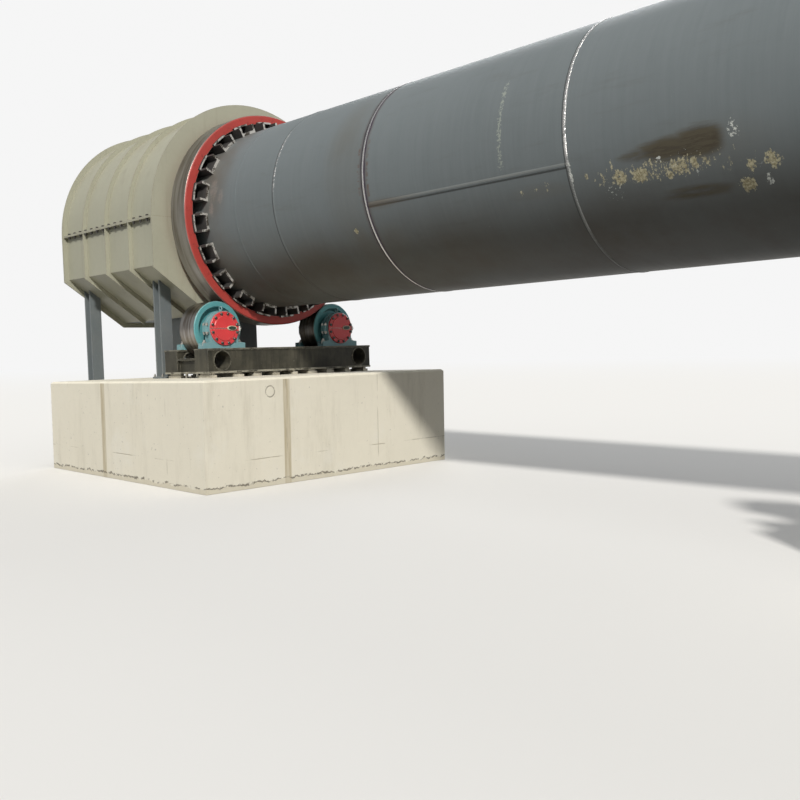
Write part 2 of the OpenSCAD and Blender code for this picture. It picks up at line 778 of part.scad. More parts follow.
// A finned motor with end shields, a fan cowl, feet and a terminal box
module drive_motor() {
  shield_r = 215;
  fin_r = 208;
  body_r = 180;
  fin_t = 7;
  fin_count = 36;
  shield_l = 60;
  foot_plate = 28;
  box_sunk = 8;
  box = [230, 170, 130];
  from = motor_from - motor_len;
  color(machine_green) {
    along_drive(from, motor_cowl_l) circle(r = fin_r, $fn = 64);
    for (x = [from + motor_cowl_l, motor_from - shield_l])
      along_drive(x, shield_l - seat) circle(r = shield_r, $fn = 64);
    along_drive(from + motor_cowl_l, motor_len - motor_cowl_l - seat) {
      circle(r = body_r, $fn = 64);
      for (i = [0:fin_count - 1]) rotate(i * 360 / fin_count)
        translate([0, -fin_t / 2]) square([fin_r, fin_t]);
    }
    for (x = [from + motor_cowl_l, motor_from - motor_foot_l]) {
      along_drive(x, motor_foot_l - seat) translate([-shield_r, -pinion_bearing_h])
        square([2 * shield_r, foot_plate]);
      along_drive(x, foot_plate) translate([-body_r, -pinion_bearing_h])
        square([2 * body_r, pinion_bearing_h]);
    }
    station(gear_at) translate([
      from + (motor_len + motor_cowl_l - box[0]) / 2, pinion_y - box[1] / 2, pinion_z + body_r - box_sunk
    ]) cube(box);
  }
}

// Half of the hood's width at its floor, clear of the rollers' bearings
hood_to_cover = 50;
hood_floor_half = roller_y - cover_d / 2 - hood_to_cover;
hood_bevel_len = sqrt(pow(hood_r - hood_floor_half, 2) + pow(hood_drop - hood_side, 2));
bevel_in_y = -(hood_drop - hood_side) / hood_bevel_len;
bevel_in_z = (hood_r - hood_floor_half) / hood_bevel_len;

// Corners of the hood's lower half on its far side, at a distance inside its end plates' edge
function side_corner(inset) = [hood_r - inset, -hood_side + inset * (1 + bevel_in_y) / bevel_in_z];
function floor_corner(inset) = [
  hood_floor_half + inset * (1 - bevel_in_z) / bevel_in_y, -hood_drop + inset
];
function mirrored(p) = [-p[0], p[1]];

module hood_section(inset) {
  half_disc(hood_r - inset);
  polygon([
    [hood_r - inset, 0], side_corner(inset), floor_corner(inset),
    mirrored(floor_corner(inset)), mirrored(side_corner(inset)), [-hood_r + inset, 0]
  ]);
}

// A section across the kiln, extruded from a distance before the ring towards the lower end
module hood_slab(from, length) {
  station(-from) rotate([90, 0, -90]) linear_extrude(length) children();
}

seal_r = shell_r + bead_h + seal_gap;
seal_lap = 20;
seal_w = 60;
burner_d = 420;
door_drop = 760;
door_d = 420;
hood_rib_t = 12;
hood_rib_in = 12;
hood_rib_count = 3;
casing_from = hood_start + hood_wall + seat;
casing_len = hood_len - 2 * hood_wall - 2 * seat;
function rib_from(i) = hood_start + i * hood_len / (hood_rib_count + 1);

module hood_front() {
  color(cream) hood_slab(hood_start, hood_wall) difference() {
    hood_section(0);
    circle(r = seal_r + seal_lap);
  }
}

// The arch of the casing with its ribs and the flange that it is bolted down by
module hood_casing() {
  arch_r = hood_r - hood_lip;
  module arch_band(outer, inner) {
    difference() {
      half_disc(outer);
      circle(r = inner);
    }
  }
  color(cream) {
    hood_slab(casing_from, casing_len) {
      arch_band(arch_r, arch_r - hood_wall);
      for (side = [-1, 1]) translate([side * (arch_r + hood_lip / 2 - hood_rib_in) - hood_lip / 2, 0])
        square([hood_lip, hood_rib_t]);
    }
    for (i = [1:hood_rib_count]) hood_slab(rib_from(i), hood_rib_t)
      arch_band(hood_r - hood_rib_in, arch_r - eps);
  }
}

// Upright sides that slope in to the floor, with ribs and the lower half of the flange
module hood_sides() {
  module side_band(outer, inner) {
    polygon([
      [hood_r - outer, -seat], side_corner(outer), floor_corner(outer),
      floor_corner(inner), side_corner(inner), [hood_r - inner, -seat]
    ]);
  }
  color(cream) for (side = [0, 1]) {
    hood_slab(casing_from, casing_len) mirror([side, 0]) {
      side_band(hood_lip, hood_lip + hood_wall);
      translate([hood_r - hood_lip - hood_rib_in, -hood_rib_t - seat]) square([hood_lip, hood_rib_t]);
    }
    for (i = [1:hood_rib_count]) hood_slab(rib_from(i), hood_rib_t) mirror([side, 0])
      side_band(hood_rib_in, hood_lip + eps);
  }
}

module hood_back() {
  rib_y = 460;
  rib_h = 60;
  rib_top = 1000;
  color(cream) {
    hood_slab(hood_start + hood_len - hood_wall, hood_wall) difference() {
      hood_section(0);
      circle(d = burner_d);
      translate([0, -door_drop]) circle(d = door_d, $fn = 64);
    }
    for (side = [-1, 1])
      hood_slab(hood_start + hood_len - eps, rib_h) translate([side * rib_y - hood_rib_t / 2, -rib_top])
        square([hood_rib_t, 2 * rib_top]);
  }
}

outlet_l = 700;
outlet_w = 900;
outlet_drop = 500;
outlet_wall = 12;
outlet_flange = 70;

// Flat floor between the sloping sides, with the chute under its outlet
module hood_floor() {
  mid = -hood_start - hood_len / 2;
  low = floor_corner(hood_lip);
  high = floor_corner(hood_lip + hood_wall);
  color(blue_grey) difference() {
    union() {
      hood_slab(casing_from, casing_len) polygon([
        [low[0] - seat, low[1]], [high[0] - seat, high[1]],
        [seat - high[0], high[1]], [seat - low[0], low[1]]
      ]);
      station(mid) translate([0, 0, low[1] - outlet_drop]) {
        translate([-outlet_l / 2 - outlet_wall, -outlet_w / 2 - outlet_wall, 0])
          cube([outlet_l + 2 * outlet_wall, outlet_w + 2 * outlet_wall, outlet_drop + eps]);
        translate([-outlet_l / 2 - outlet_flange, -outlet_w / 2 - outlet_flange, 0])
          cube([outlet_l + 2 * outlet_flange, outlet_w + 2 * outlet_flange, outlet_wall]);
      }
    }
    station(mid) translate([-outlet_l / 2, -outlet_w / 2, low[1] - outlet_drop - eps])
      cube([outlet_l, outlet_w, outlet_drop + hood_wall + 2 * eps]);
  }
}

plinth_drop = (axis_h - plinth_h) * cos(slope);
leg_w = 140;
leg_foot = 200;
leg_y = frame_len / 2 - leg_foot / 2;
leg_to_frame = 60;

// Columns in line with the base frame's ends, from the pier and the plinth up to the sloping sides
module hood_legs() {
  front_at = -frame_reach - leg_foot / 2 - leg_to_frame;
  back_at = -hood_start - hood_len + leg_foot / 2;
  color(blue_grey) difference() {
    for (place = [[front_at, pier_drop - seat], [back_at, plinth_drop - seat]], side = [-1, 1])
      station(place[0]) translate([0, side * leg_y, -place[1]]) {
        leg_section(place[1] - hood_side);
        translate([-leg_foot / 2, -leg_foot / 2, 0]) cube([leg_foot, leg_foot, flange_t]);
      }
    hood_slab(0, hood_start + hood_len + leg_foot) hood_section(hood_lip - seat);
  }
}

module leg_section(height) {
  for (side = [-1, 1]) translate([side * (leg_w - flange_t) / 2 - flange_t / 2, -leg_w / 2, 0])
    cube([flange_t, leg_w, height]);
  translate([-leg_w / 2, -web_t / 2, 0]) cube([leg_w, web_t, height]);
}

module hood_plinth() {
  middle = plane_x(-hood_start - hood_len / 2, plinth_drop);
  near = plane_x(0, pier_drop) - pier_back;
  half_w = leg_y + leg_foot / 2 + pier_over;
  color(concrete) block_on_ground(
    middle - hood_len / 2 - pier_over, near - seat, -half_w, half_w, plinth_drop);
}

// A round door with a boss, hung from two straps
module hood_door() {
  door_t = 24;
  rim = 45;
  strap = [30, 34];
  strap_reach = 110;
  color(dark_steel) station(-hood_start - hood_len - seat) translate([0, 0, -door_drop]) {
    rotate([0, -90, 0]) cylinder(d = door_d + 2 * rim, h = door_t, $fn = 64);
    rotate([0, -90, 0]) cylinder(d = door_d / 3, h = door_t + strap[0], $fn = 48);
    for (level = [-1, 1]) translate([-strap[0] - door_t + eps, 0, level * door_d / 4 - strap[1] / 2])
      cube([strap[0], door_d / 2 + rim + strap_reach, strap[1]]);
    translate([-strap[0] - door_t + eps, door_d / 2 + rim + strap_reach - strap[1], -door_d / 4 - strap[1]])
      cube([strap[0] + door_t - eps, strap[1], door_d / 2 + 2 * strap[1]]);
  }
}

module burner_port() {
  port_wall = 14;
  port_len = 260;
  port_in = 60;
  flange = 60;
  plate_t = 22;
  color(dark_steel) station(-hood_start - hood_len) rotate([0, -90, 0]) difference() {
    union() {
      translate([0, 0, -port_in]) cylinder(d = burner_d - 2 * seat, h = port_len, $fn = 64);
      for (level = [seat, port_len - port_in - plate_t])
        translate([0, 0, level]) cylinder(d = burner_d + 2 * flange, h = plate_t, $fn = 64);
    }
    translate([0, 0, -port_in - eps])
      cylinder(d = burner_d - 2 * port_wall, h = port_len + 2 * eps, $fn = 64);
  }
}

module seal_ring() {
  plate_t = 10;
  color(dark_steel) on_axis(-hood_start) rotate_extrude()
    translate([seal_r, seat]) square([seal_w, plate_t]);
}

shell_course(1);  // shell_course_1
shell_course(2);  // shell_course_2
shell_course(3);  // shell_course_3
shell_course(4);  // shell_course_4
shell_course(5);  // shell_course_5
shell_course(6);  // shell_course_6
shell_course(7);  // shell_course_7
shell_course(8);  // shell_course_8
shell_course(9);  // shell_course_9
riding_ring(0);  // riding_ring_1
riding_ring(ring_span);  // riding_ring_2
filler_pads(0);  // filler_pads_1
filler_pads(ring_span);  // filler_pads_2
stop_blocks(0);  // stop_blocks_1
stop_blocks(ring_span);  // stop_blocks_2
girth_gear();
spring_plates();
brace_spokes();
brace_plate();
support_roller(0, -1);  // roller_1_near
support_roller(0, 1);  // roller_1_far
support_roller(ring_span, -1);  // roller_2_near
support_roller(ring_span, 1);  // roller_2_far
roller_shaft(0, -1);  // roller_shaft_1_near
roller_shaft(0, 1);  // roller_shaft_1_far
roller_shaft(ring_span, -1);  // roller_shaft_2_near
roller_shaft(ring_span, 1);  // roller_shaft_2_far
pinion();
pinion_coupling();
pier(0, pier_back);  // pier_1
pier(ring_span, upper_pier_back);  // pier_2
drive_pier();
hood_plinth();
base_frame(0);  // base_frame_1
base_frame(ring_span);  // base_frame_2
packing_plates(0);  // packing_plates_1
packing_plates(ring_span);  // packing_plates_2
bearing_housings(0);  // bearing_housings_1
bearing_housings(ring_span);  // bearing_housings_2
bearing_covers(0);  // bearing_covers_1
bearing_covers(ring_span);  // bearing_covers_2
drive_base();
pinion_bearings();
gear_reducer();
coupling_guard();
drive_motor();
hood_front();
hood_casing();
hood_sides();
hood_back();
hood_floor();
hood_legs();
hood_door();
burner_port();
seal_ring();
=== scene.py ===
"""Looks of a rotary kiln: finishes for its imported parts, and the small fittings on them."""

import json
from functools import reduce
from math import atan2, cos, degrees, pi, radians, sin

import bpy
from mathutils import Euler, Matrix, Vector


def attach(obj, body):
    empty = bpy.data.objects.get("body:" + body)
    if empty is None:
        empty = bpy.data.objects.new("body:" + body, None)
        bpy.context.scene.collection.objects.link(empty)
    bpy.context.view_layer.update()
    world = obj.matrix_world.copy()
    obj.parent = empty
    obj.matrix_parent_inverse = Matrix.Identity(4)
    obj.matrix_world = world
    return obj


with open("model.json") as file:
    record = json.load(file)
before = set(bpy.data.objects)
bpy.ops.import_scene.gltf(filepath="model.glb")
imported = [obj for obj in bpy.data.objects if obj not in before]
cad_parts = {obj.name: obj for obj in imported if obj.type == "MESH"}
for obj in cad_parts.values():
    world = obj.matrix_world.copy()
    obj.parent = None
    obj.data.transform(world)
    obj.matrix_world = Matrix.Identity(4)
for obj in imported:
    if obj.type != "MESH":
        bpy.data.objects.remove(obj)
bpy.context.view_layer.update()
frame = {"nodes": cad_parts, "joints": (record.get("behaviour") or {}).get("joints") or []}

# ---- The kiln's own frame: X along its axis from the lower riding ring, Y across, Z square to both

barrel_turn = next(j for j in frame["joints"] if j["name"] == "barrel_turn")
AXIS_POINT = Vector(barrel_turn["pos_m"])
AXIS = Vector(barrel_turn["axis"]).normalized()
SLOPE = atan2(AXIS.z, AXIS.x)
KILN = Matrix.Translation(AXIS_POINT) @ Matrix.Rotation(-SLOPE, 4, "Y")


def points_of(node):
    """Points of a CAD node in the kiln's frame."""
    back = KILN.inverted()
    return [back @ v.co for v in frame["nodes"][node].data.vertices]


def span(node):
    """Lowest and highest corner of a CAD node in the kiln's frame."""
    points = points_of(node)
    low = Vector([min(p[i] for p in points) for i in range(3)])
    high = Vector([max(p[i] for p in points) for i in range(3)])
    return low, high


def joint_at(name):
    """Place of a joint in the kiln's frame."""
    joint = next(j for j in frame["joints"] if j["name"] == name)
    return KILN.inverted() @ Vector(joint["pos_m"])


STATIONS = [joint_at("roller_1_near_turn").x, joint_at("roller_2_near_turn").x]
ROLLER_Y = joint_at("roller_1_far_turn").y
ROLLER_DROP = -joint_at("roller_1_far_turn").z
ROLLER_HALF = span("roller_1_far")[1].x

# What keeps a fitting's face from lying in the face it stands on
HAIR = 0.0003

BEAD_H = 0.004
BEAD_W = 0.024
SHELL_WALL = 0.028
SHELL_R = span("shell_course_5")[1].y - BEAD_H
SHELL_IN = SHELL_R - SHELL_WALL
SHELL_FROM = span("shell_course_1")[0].x
SHELL_TO = span("shell_course_9")[1].x
COURSE_ENDS = [span("shell_course_%d" % i)[1].x for i in range(1, 9)]
RING_R = span("riding_ring_1")[1].y
RING_WALL = 0.100
RING_IN = RING_R - RING_WALL

COVER_FRONT = span("bearing_covers_1")[1].x
COVER_BACK = span("bearing_housings_1")[1].x + HAIR
HOUSING_FROM = ROLLER_HALF + 0.012
COVER_R = span("bearing_covers_1")[1].y - ROLLER_Y
HOUSING_TOP = span("bearing_housings_1")[1].z + ROLLER_DROP
HOUSING_FOOT = -span("bearing_housings_1")[0].z - ROLLER_DROP
FRAME_TOP = span("base_frame_1")[1].z
FRAME_BOTTOM = span("base_frame_1")[0].z
FRAME_REACH = span("base_frame_1")[1].x
BEAM_W = 0.270

PINION = joint_at("pinion_turn")
GEAR_AT = PINION.x
TOOTH_FOOT = 1.312

HOOD_FROM = span("hood_front")[1].x
HOOD_TO = span("hood_casing")[0].x
HOOD_R = span("hood_front")[1].y
HOOD_BACK = HOOD_TO - 0.020 - HAIR


# ---- Modelling by hand: primitives, edit mode, and copies joined into one piece


def clear_selection():
    if bpy.context.object and bpy.context.object.mode != "OBJECT":
        bpy.ops.object.mode_set(mode="OBJECT")
    bpy.ops.object.select_all(action="DESELECT")


def select(*parts):
    """Selects these pieces alone, with the first one active."""
    clear_selection()
    for part in parts:
        part.select_set(True)
    bpy.context.view_layer.objects.active = parts[0]


def cylinder(radius, depth, at=(0, 0, 0), sides=24, rotation=(0, 0, 0)):
    """A cylinder that stands on a point."""
    clear_selection()
    middle = Vector(at) + Euler(rotation).to_matrix() @ Vector((0, 0, depth / 2))
    bpy.ops.mesh.primitive_cylinder_add(
        vertices=sides, radius=radius, depth=depth, location=middle, rotation=rotation)
    return settle(bpy.context.object)


def block(size, at=(0, 0, 0)):
    """A block that stands on the middle of its underside."""
    clear_selection()
    middle = Vector(at) + Vector((0, 0, size[2] / 2))
    bpy.ops.mesh.primitive_cube_add(size=1, location=middle, scale=size)
    return settle(bpy.context.object)


def hoop(radius, thickness, at=(0, 0, 0), sides=24, round_sides=8, rotation=(0, 0, 0)):
    clear_selection()
    bpy.ops.mesh.primitive_torus_add(
        major_radius=radius, minor_radius=thickness, major_segments=sides,
        minor_segments=round_sides, location=at, rotation=rotation)
    return settle(bpy.context.object)


def dome(radius, at=(0, 0, 0), height=1.0):
    """The upper half of a ball, squashed to a height."""
    clear_selection()
    bpy.ops.mesh.primitive_uv_sphere_add(segments=24, ring_count=12, radius=radius, location=(0, 0, 0))
    made = bpy.context.object
    bpy.ops.object.mode_set(mode="EDIT")
    bpy.ops.mesh.select_all(action="SELECT")
    bpy.ops.mesh.bisect(plane_co=(0, 0, 0), plane_no=(0, 0, 1), clear_inner=True, use_fill=True)
    bpy.ops.mesh.select_all(action="SELECT")
    bpy.ops.transform.resize(value=(1, 1, height))
    bpy.ops.object.mode_set(mode="OBJECT")
    made.location = at
    return settle(made)


def settle(made):
    """Puts a piece's place, turn and size into its mesh."""
    select(made)
    bpy.ops.object.transform_apply(location=True, rotation=True, scale=True)
    return made


def pick_faces(made, test):
    """Opens a piece for editing with the faces selected whose centre and normal pass a test."""
    select(made)
    mesh = made.data
    for parts in (mesh.vertices, mesh.edges):
        parts.foreach_set("select", [False] * len(parts))
    for face in mesh.polygons:
        face.select = bool(test(face.center, face.normal))
    bpy.context.tool_settings.mesh_select_mode = (False, False, True)
    bpy.ops.object.mode_set(mode="EDIT")


def crown(made, inset, rise, test=lambda centre, normal: normal.z > 0.9):
    """Insets a piece's top and lifts it, for a bevelled or domed head."""
    pick_faces(made, test)
    bpy.ops.mesh.inset(thickness=inset)
    bpy.ops.transform.translate(value=(0, 0, rise))
    bpy.ops.object.mode_set(mode="OBJECT")
    return made


def peg(radius, depth, inset, rise, at=(0, 0, 0), sides=24):
    """A cylinder whose top is bevelled or domed."""
    return crown(cylinder(radius, depth, at, sides), inset, rise)


def bevelled(made, width, steps=2, angle=40):
    """Rounds a piece's edges."""
    select(made)
    edge = made.modifiers.new("bevel", "BEVEL")
    edge.width = width
    edge.segments = steps
    edge.limit_method = "ANGLE"
    edge.angle_limit = radians(angle)
    bpy.ops.object.modifier_apply(modifier=edge.name)
    return made


def joined(*parts):
    """Joins parts into one mesh."""
    select(*parts)
    bpy.ops.object.join()
    return parts[0]


def smooth(made, angle=35):
    select(made)
    bpy.ops.object.shade_smooth_by_angle(angle=radians(angle))
    return made


def place_copies(name, model, places, finish, body="root", smoothing=35):
    """Copies a model to every place, each with its own mesh, and joins the copies into one piece."""
    copies = []
    for place in places:
        copy = model.copy()
        copy.data = model.data.copy()
        copy.data.transform(place)
        bpy.context.scene.collection.objects.link(copy)
        copies.append(copy)
    bpy.data.objects.remove(model)
    piece = joined(*copies)
    smooth(piece, smoothing)
    piece.name = name
    piece.data.name = name
    piece.data.materials.clear()
    piece.data.materials.append(finish)
    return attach(piece, body)


def facing(direction, along=(1, 0, 0)):
    """A turn that points local Z in a direction, with local X as near as it can be to another."""
    z = Vector(direction).normalized()
    x = Vector(along)
    if abs(z.dot(x.normalized())) > 0.9:
        x = Vector((0, 0, 1))
    y = z.cross(x).normalized()
    return Matrix((y.cross(z), y, z)).transposed().to_4x4()


def at(x, y, z, direction=(0, 0, 1), along=(1, 0, 0)):
    """A place in the kiln's frame, with local Z in a direction."""
    return KILN @ Matrix.Translation((x, y, z)) @ facing(direction, along)


def turns(count, first):
    """Angles in degrees, evenly round a circle."""
    return [first + 360 / count * i for i in range(count)]


def circle(radius, count, first):
    """Points round a circle, across and up."""
    return [(radius * cos(radians(a)), radius * sin(radians(a))) for a in turns(count, first)]


def outward(angle):
    """Away from the axis; the angle counts from straight below towards the far side."""
    return Vector((0, sin(radians(angle)), -cos(radians(angle))))


def sideways(angle):
    """Round the axis, square to outward."""
    return Vector((0, cos(radians(angle)), sin(radians(angle))))


def on_barrel(x, angle, radius, direction=None):
    """A place round the axis, facing outward unless a direction is given."""
    out = outward(angle)
    spot = radius * out
    return at(x, spot.y, spot.z, direction or out)


def hex_head(width, height, washer=0.0, stud=0.0):
    """A hexagon head or nut across its flats, with a washer and a threaded end where asked for."""
    corner = width / 2 / cos(radians(30))
    parts = []
    if washer:
        parts.append(peg(width * 0.62, washer * 0.7, washer * 0.3, washer * 0.3, sides=20))
    head = cylinder(corner, height * 0.85, at=(0, 0, washer), sides=6)
    parts.append(crown(head, corner * 0.14, height * 0.15))
    if stud:
        thread = cylinder(width * 0.31, stud * 0.9, at=(0, 0, washer + height * 0.95), sides=12)
        parts.append(crown(thread, width * 0.05, stud * 0.1))
    return joined(*parts)


def place_bolts(name, size, places, finish, body="root"):
    """Hexagon heads or nuts of one size: width, height and, where they have them, washer and stud."""
    return place_copies(name, hex_head(*size), places, finish, body)


def lifting_eye(ring, bar):
    """A forged eye on a round collar."""
    collar = peg(ring * 0.9, bar, ring * 0.15, bar * 0.5, sides=20)
    neck = cylinder(bar * 1.1, ring, at=(0, 0, bar * 0.8), sides=12)
    eye = hoop(ring, bar, at=(0, 0, bar * 1.6 + ring), rotation=(radians(90), 0, 0))
    return joined(collar, neck, eye)


# ---- Finishes: node graphs written as plain arithmetic

STEEL = (0.56, 0.55, 0.53)
DUST = (0.42, 0.37, 0.28)


class Wire:
    """A value on its way from one node to the next."""

    def __init__(self, graph, socket):
        self.graph = graph
        self.socket = socket

    def __add__(self, other):
        return self.graph.maths("ADD", self, other)

    def __sub__(self, other):
        return self.graph.maths("SUBTRACT", self, other)

    def __rsub__(self, other):
        return self.graph.maths("SUBTRACT", other, self)

    def __mul__(self, other):
        return self.graph.maths("MULTIPLY", self, other)

    def over(self, other):
        return self.graph.maths("MAXIMUM", self, other)

    def size(self):
        return self.graph.maths("ABSOLUTE", self)

    def wave(self):
        return self.graph.maths("SINE", self)

    def step(self, low, high):
        """Rises smoothly from 0 at low to 1 at high, or falls if low is the larger."""
        ranged = self.graph.add(
            "MapRange", {"Value": self, "From Min": low, "From Max": high},
            interpolation_type="SMOOTHSTEP")
        return Wire(self.graph, ranged.outputs["Result"])


def most(masks):
    """Where any of several masks is set."""
    return reduce(Wire.over, masks)


class Graph:
    """Writes one node tree, and knows the finish that it belongs to."""

    def __init__(self, tree, finish=None):
        self.tree = tree
        self.finish = finish

    def add(self, kind, feeds=None, **settings):
        node = self.tree.nodes.new("ShaderNode" + kind)
        for name, value in settings.items():
            setattr(node, name, value)
        for name, value in (feeds or {}).items():
            self.feed(node.inputs[name], value)
        return node

    def feed(self, socket, value):
        if isinstance(value, Wire):
            self.tree.links.new(value.socket, socket)
        elif socket.type == "RGBA" and len(value) == 3:
            socket.default_value = (*value, 1)
        else:
            socket.default_value = value

    def maths(self, operation, *values):
        node = self.add("Math", dict(enumerate(values)), operation=operation)
        return Wire(self, node.outputs[0])

    def mix(self, share, first, second):
        """From the first colour to the second."""
        node = self.add("Mix", {0: share, 6: first, 7: second}, data_type="RGBA")
        return Wire(self, node.outputs[2])

    def between(self, share, first, second):
        """From the first value to the second."""
        node = self.add("Mix", {0: share, 2: first, 3: second}, data_type="FLOAT")
        return Wire(self, node.outputs[0])

    def point(self):
        return Wire(self, self.add("TexCoord").outputs["Object"])

    def stretched(self, point, scale):
        return Wire(self, self.add("Mapping", {"Vector": point, "Scale": scale}).outputs["Vector"])

    def noise(self, point, scale, detail=4.0, roughness=0.55):
        node = self.add(
            "TexNoise", {"Vector": point, "Scale": scale, "Detail": detail, "Roughness": roughness})
        return Wire(self, node.outputs[0])

    def streaks(self, point, scale, detail=4.0, roughness=0.55):
        """Noise with a scale of its own in each direction."""
        return self.noise(self.stretched(point, scale), 1.0, detail, roughness)

    def cells(self, point, scale, feature="F1"):
        node = self.add("TexVoronoi", {"Vector": point, "Scale": scale}, feature=feature)
        return Wire(self, node.outputs["Distance"])

    def normal(self, source="Normal"):
        split = self.add("SeparateXYZ", {"Vector": Wire(self, self.add("NewGeometry").outputs[source])})
        return [Wire(self, out) for out in split.outputs]

    def split(self, vector):
        return [Wire(self, out) for out in self.add("SeparateXYZ", {"Vector": vector}).outputs]

    def end_face(self, low, high):
        """1 on faces that look along the kiln."""
        out = self.normal()
        return (out[0] * AXIS.x + out[2] * AXIS.z).size().step(low, high)

    def band(self, value, centre, half, soft):
        return self.use("band", Value=value, Centre=centre, Half=half, Soft=soft)["Mask"]

    def within(self, value, low, high, soft):
        return self.band(value, (low + high) / 2, (high - low) / 2, soft)

    def mottled(self, point, colour, scale, amount):
        return self.use("mottle", Point=point, Colour=colour, Scale=scale, Amount=amount)["Colour"]

    def dusty(self, colour, amount, scale, dust=DUST):
        return self.use("dust", Colour=colour, Dust=dust, Amount=amount, Scale=scale)

    def rusty(self, point, colour, scale, amount):
        return self.use("rust", Point=point, Colour=colour, Scale=scale, Amount=amount)

    def worn(self, width, amount):
        return self.use("worn_edge", Width=width, Amount=amount)["Mask"]

    def scuffed(self, point, amount):
        return self.use("scuffs", Point=point, Amount=amount)["Mask"]

    def use(self, effect, **feeds):
        node = self.tree.nodes.new("ShaderNodeGroup")
        node.node_tree = bpy.data.node_groups[effect]
        for name, value in feeds.items():
            self.feed(node.inputs[name.replace("_", " ")], value)
        return {out.name: Wire(self, out) for out in node.outputs}


# The sockets of an effect; any other name is a plain value
SOCKETS = {"Point": "NodeSocketVector", "Colour": "NodeSocketColor", "Dust": "NodeSocketColor"}


def effect(recipe, outputs, **inputs):
    """An effect that several finishes use, as a node group with a default for each input."""
    tree = bpy.data.node_groups.new(recipe.__name__, "ShaderNodeTree")
    for label, value in inputs.items():
        kind = SOCKETS.get(label, "NodeSocketFloat")
        socket = tree.interface.new_socket(name=label, in_out="INPUT", socket_type=kind)
        if value is not None:
            socket.default_value = (*value, 1) if label in SOCKETS else value
    for label in outputs:
        kind = SOCKETS.get(label, "NodeSocketFloat")
        tree.interface.new_socket(name=label, in_out="OUTPUT", socket_type=kind)
    graph = Graph(tree)
    given = tree.nodes.new("NodeGroupInput")
    result = tree.nodes.new("NodeGroupOutput")
    made = recipe(graph, {out.name: Wire(graph, out) for out in given.outputs if out.name in inputs})
    for label, wire in made.items():
        graph.feed(result.inputs[label], wire)


def kiln_place(graph, given):
    """Object coordinates laid along the kiln: distance, angle in degrees and radius."""
    turned = graph.add(
        "Mapping",
        {"Vector": graph.point(), "Location": AXIS_POINT, "Rotation": (0, -SLOPE, 0)},
        vector_type="TEXTURE")
    point = Wire(graph, turned.outputs["Vector"])
    along, across, up = graph.split(point)
    angle = graph.maths("ARCTAN2", across, 0 - up) * degrees(1)
    radius = graph.maths("SQRT", across * across + up * up)
    return {"Point": point, "Along": along, "Angle": angle, "Radius": radius}


def band(graph, given):
    """1 inside a band of a value, with soft edges."""
    off = (given["Value"] - given["Centre"]).size()
    return {"Mask": off.step(given["Half"] + given["Soft"], given["Half"] - given["Soft"])}


def patch(graph, given):
    """1 in the middle of an oval on the barrel, a half at its rim and 0 beyond."""
    along = (given["Along"] - given["At"]) * graph.maths("DIVIDE", 1.0, given["Length"])
    around = (given["Angle"] - given["Turn"]) * graph.maths("DIVIDE", 1.0, given["Height"])
    off = graph.maths("SQRT", along * along + around * around)
    return {"Mask": off.step(1.6, 0.4) * given["Strength"]}


def mottle(graph, given):
    """A colour made lighter and darker in clouds and fine grain."""
    clouds = graph.noise(given["Point"], given["Scale"], 3.0) - 0.5
    grain = graph.noise(given["Point"], given["Scale"] * 14.0, 3.0) - 0.5
    value = (clouds * 1.8 + grain * 0.8) * given["Amount"] + 1.0
    node = graph.add("HueSaturation", {"Color": given["Colour"], "Value": value})
    return {"Colour": Wire(graph, node.outputs["Color"])}


def dust(graph, given):
    """Dust that lies on faces that look up, in clouds."""
    up = graph.normal()[2]
    cover = graph.noise(graph.point(), given["Scale"], 5.0, 0.65).step(0.3, 0.72)
    mask = (up.step(0.1, 0.95) * 0.85 + 0.15) * cover * given["Amount"]
    return {"Colour": graph.mix(mask, given["Colour"], given["Dust"]), "Mask": mask}


def worn_edge(graph, given):
    """Edges rubbed bare, broken up by noise."""
    rounded = graph.add("Bevel", {"Radius": given["Width"]}, samples=4)
    geometry = graph.add("NewGeometry")
    turn = graph.add(
        "VectorMath",
        {0: Wire(graph, rounded.outputs["Normal"]), 1: Wire(graph, geometry.outputs["Normal"])},
        operation="DOT_PRODUCT")
    edge = (1.0 - Wire(graph, turn.outputs["Value"])).step(0.02, 0.16)
    broken = graph.noise(graph.point(), 34.0, 5.0, 0.7).step(0.34, 0.62)
    return {"Mask": edge * broken * given["Amount"]}


def rust(graph, given):
    """Rust in blooms, dark at heart and orange round it."""
    bloom = graph.noise(given["Point"], given["Scale"], 7.0, 0.68)
    start = 0.82 - given["Amount"] * 0.5
    mask = bloom.step(start, start + 0.12)
    tone = graph.noise(given["Point"], given["Scale"] * 6.0, 4.0)
    brown = graph.mix(tone.step(0.3, 0.7), (0.075, 0.028, 0.014), (0.26, 0.09, 0.03))
    return {"Colour": graph.mix(mask, given["Colour"], brown), "Mask": mask}


def scuffs(graph, given):
    """Thin scratches in two directions."""
    lines = []
    for turn in (0.5, 2.2):
        turned = graph.add(
            "Mapping",
            {"Vector": given["Point"], "Rotation": (turn, turn / 2, turn), "Scale": (3, 60, 60)})
        lines.append(graph.noise(Wire(graph, turned.outputs["Vector"]), 1.0, 2.0).step(0.70, 0.76))
    return {"Mask": most(lines) * given["Amount"]}


